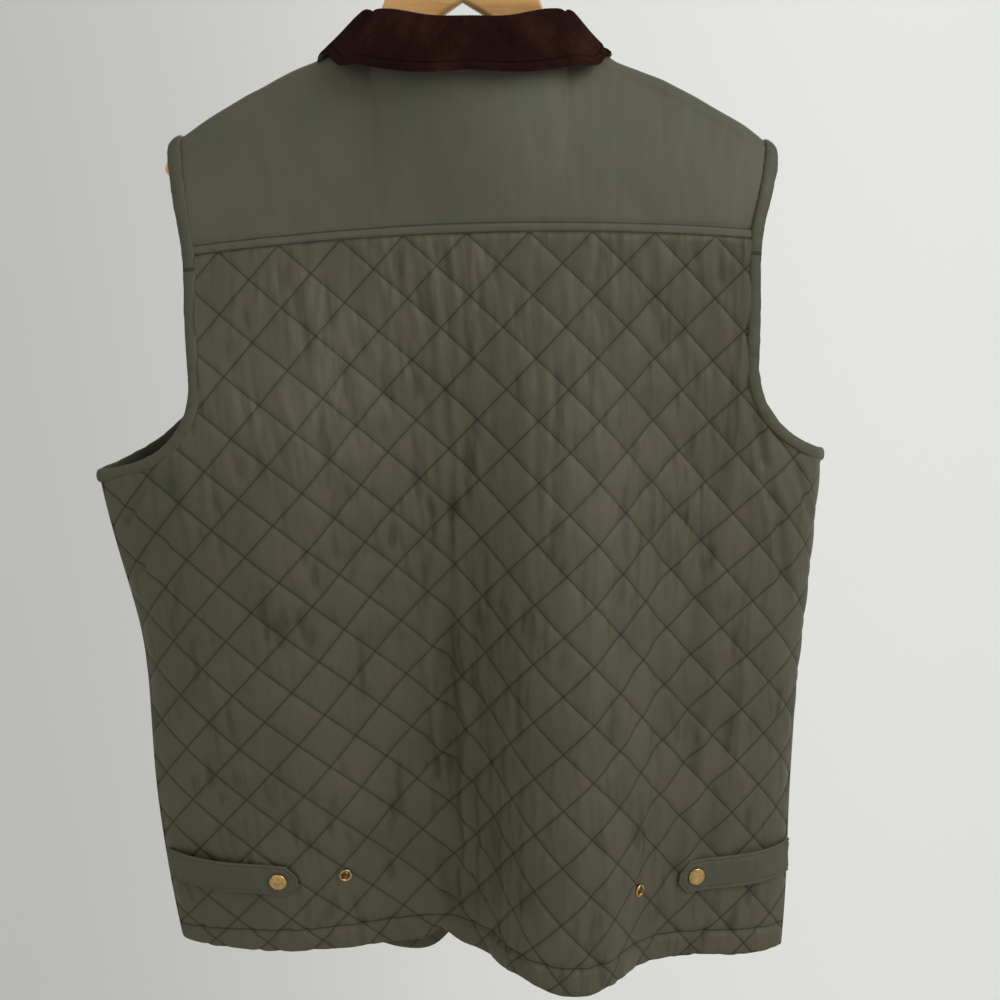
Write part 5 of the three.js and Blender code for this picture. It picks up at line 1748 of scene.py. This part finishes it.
def hanger_wood():
    tip = ARM_END - TIP_ROUND * (1 - np.sin(np.linspace(0, math.pi / 2, TIP_STEPS)))
    last = HUMP[-1]["out"]
    arm = np.linspace(last + 4, ARM_END - TIP_ROUND - 2, ARM_STEPS)
    out = np.concatenate([np.linspace(0, last, HUMP_STEPS), arm, tip])
    places = np.concatenate([-out[::-1], out[1:]])
    rings = []
    for place in places:
        far = abs(place)
        arm = float(ridge(place)) - ARM_CLEAR
        arm_last = float(ridge(math.copysign(last, place))) - ARM_CLEAR
        top = float(along(HUMP, "top", far, "out")) if far < last else arm
        low = mix(VEE_Z, arm_last - ARM_TALL, far / last) if far < last else arm - ARM_TALL
        over = max(far - ARM_END + TIP_ROUND, 0) / TIP_ROUND
        full = math.sqrt(max(1 - over**2, TIP_LEAST**2))
        tall = (top - low) / 2 * full
        half = ARM_THICK / 2 * math.sqrt(full)
        bevel = min(WOOD_BEVEL, tall, half)
        ring = []
        for quarter in range(4):
            angle = (quarter + np.linspace(0, 1, BEVEL_STEPS)) * math.pi / 2
            sy = 1 if quarter in (0, 3) else -1
            sz = 1 if quarter in (0, 1) else -1
            y = sy * (half - bevel) + bevel * np.cos(angle)
            z = (top + low) / 2 + sz * (tall - bevel) + bevel * np.sin(angle)
            ring.append(points(place, y, z))
        rings.append(np.concatenate(ring))
    return loft("wooden_hanger", np.array(rings), wood, False)


def hanger_hook():
    radius = HOOK_INSIDE + HOOK_WIRE
    angle = np.radians(np.arange(HOOK_FROM, HOOK_TO - 0.1, -HOOK_TURN))
    path = np.stack([radius * np.cos(angle), 0 * angle, -HOOK_INSIDE + radius * np.sin(angle)], axis=-1)
    path = through(np.concatenate([path, SHANK]), HOOK_STEPS)
    way = unit(np.gradient(path, axis=0))
    side = np.array([0.0, 1.0, 0.0])
    rise = np.cross(way, side)
    turn_angle = 2 * math.pi * np.arange(HOOK_SIDES) / HOOK_SIDES
    size = HOOK_WIRE * rounded(np.linspace(0, HOOK_ROUND, len(path)), 1.0)
    size[0] = HOOK_TIP
    ring = np.cos(turn_angle)[None, :, None] * side + np.sin(turn_angle)[None, :, None] * rise[:, None]
    return loft("wire_hook", path[:, None] + size[:, None, None] * ring, steel, False)


dressed(hanger_wood(), "hanger_wood")
dressed(hanger_hook(), "hanger_hook")

# The fronts' edges and top levels and the yoke's lengths, in millimetres
front_edges = panel_edge(FRONT_INNER, levels)
for sign in SIDES:
    top_run = np.linspace(FRONT_EDGE, YOKE_HALF, 60)
    top_levels = front_top(sign, top_run)
yoke_places = np.linspace(-YOKE_HALF, YOKE_HALF, 200)
yoke_lengths = yoke_length(yoke_places)

# Backdrop and light

BACKDROP_Y = -2.4
BACKDROP_CORNERS = [(5, BACKDROP_Y, -5), (5, BACKDROP_Y, 4), (-5, BACKDROP_Y, 4), (-5, BACKDROP_Y, -5)]
# Painted light falloff across the wall: lighter at its right, darker at its left
BACKDROP_PAINTED_LIGHT = [(0.0, (0.60, 0.61, 0.59)), (0.55, (0.52, 0.53, 0.51)), (1.0, (0.40, 0.40, 0.39))]
BACKDROP_FROM, BACKDROP_TO = -1.2, 1.3
# The wall glows, painted light of its own
BACKDROP_GLOW = 0.55
WORLD_COLOUR = (0.84, 0.83, 0.80, 1)
WORLD_STRENGTH = 0.68
LIT_TOWARDS = Vector((0, 0, -0.5))


def backdrop():
    """A pale wall with painted light: lighter to the right, darker to the left, and glowing of itself."""
    made, tree, shader = material("pale_wall_painted_light", 0.9)
    split = node(tree, "ShaderNodeSeparateXYZ", Vector=mapped(tree, "Object"))
    across = ranged(tree, split.outputs["X"], BACKDROP_FROM, BACKDROP_TO, 0.0, 1.0)
    colour = ramp(tree, across, BACKDROP_PAINTED_LIGHT)
    # Painted light: the falloff is both the wall's colour and its glow
    fill(tree, shader, dict(Base_Color=colour, Emission_Color=colour, Emission_Strength=BACKDROP_GLOW))
    mesh = bpy.data.meshes.new("backdrop")
    mesh.from_pydata(BACKDROP_CORNERS, [], [(0, 1, 2, 3)])
    mesh.materials.append(made)
    wall = bpy.data.objects.new("backdrop", mesh)
    bpy.context.scene.collection.objects.link(wall)


backdrop()
world = bpy.data.worlds.new("studio")
bpy.context.scene.world = world
world.use_nodes = True
sky = world.node_tree.nodes["Background"]
fill(world.node_tree, sky, dict(Color=WORLD_COLOUR, Strength=WORLD_STRENGTH))


def softbox(name, at, size, power):
    data = bpy.data.lights.new(name, "AREA")
    data.shape = "RECTANGLE"
    data.size, data.size_y = size
    data.energy = power
    lamp = bpy.data.objects.new(name, data)
    bpy.context.scene.collection.objects.link(lamp)
    lamp.location = at
    lamp.rotation_euler = (LIT_TOWARDS - Vector(at)).to_track_quat("-Z", "Y").to_euler()


softbox("key", (-1.7, 1.2, 0.8), (1.2, 1.6), 32)
softbox("fill", (1.4, 1.6, 0.6), (1.4, 1.4), 4)
softbox("behind", (0.0, -2.2, 0.8), (2.4, 1.8), 14)

bpy.context.scene.view_settings.view_transform = "Standard"
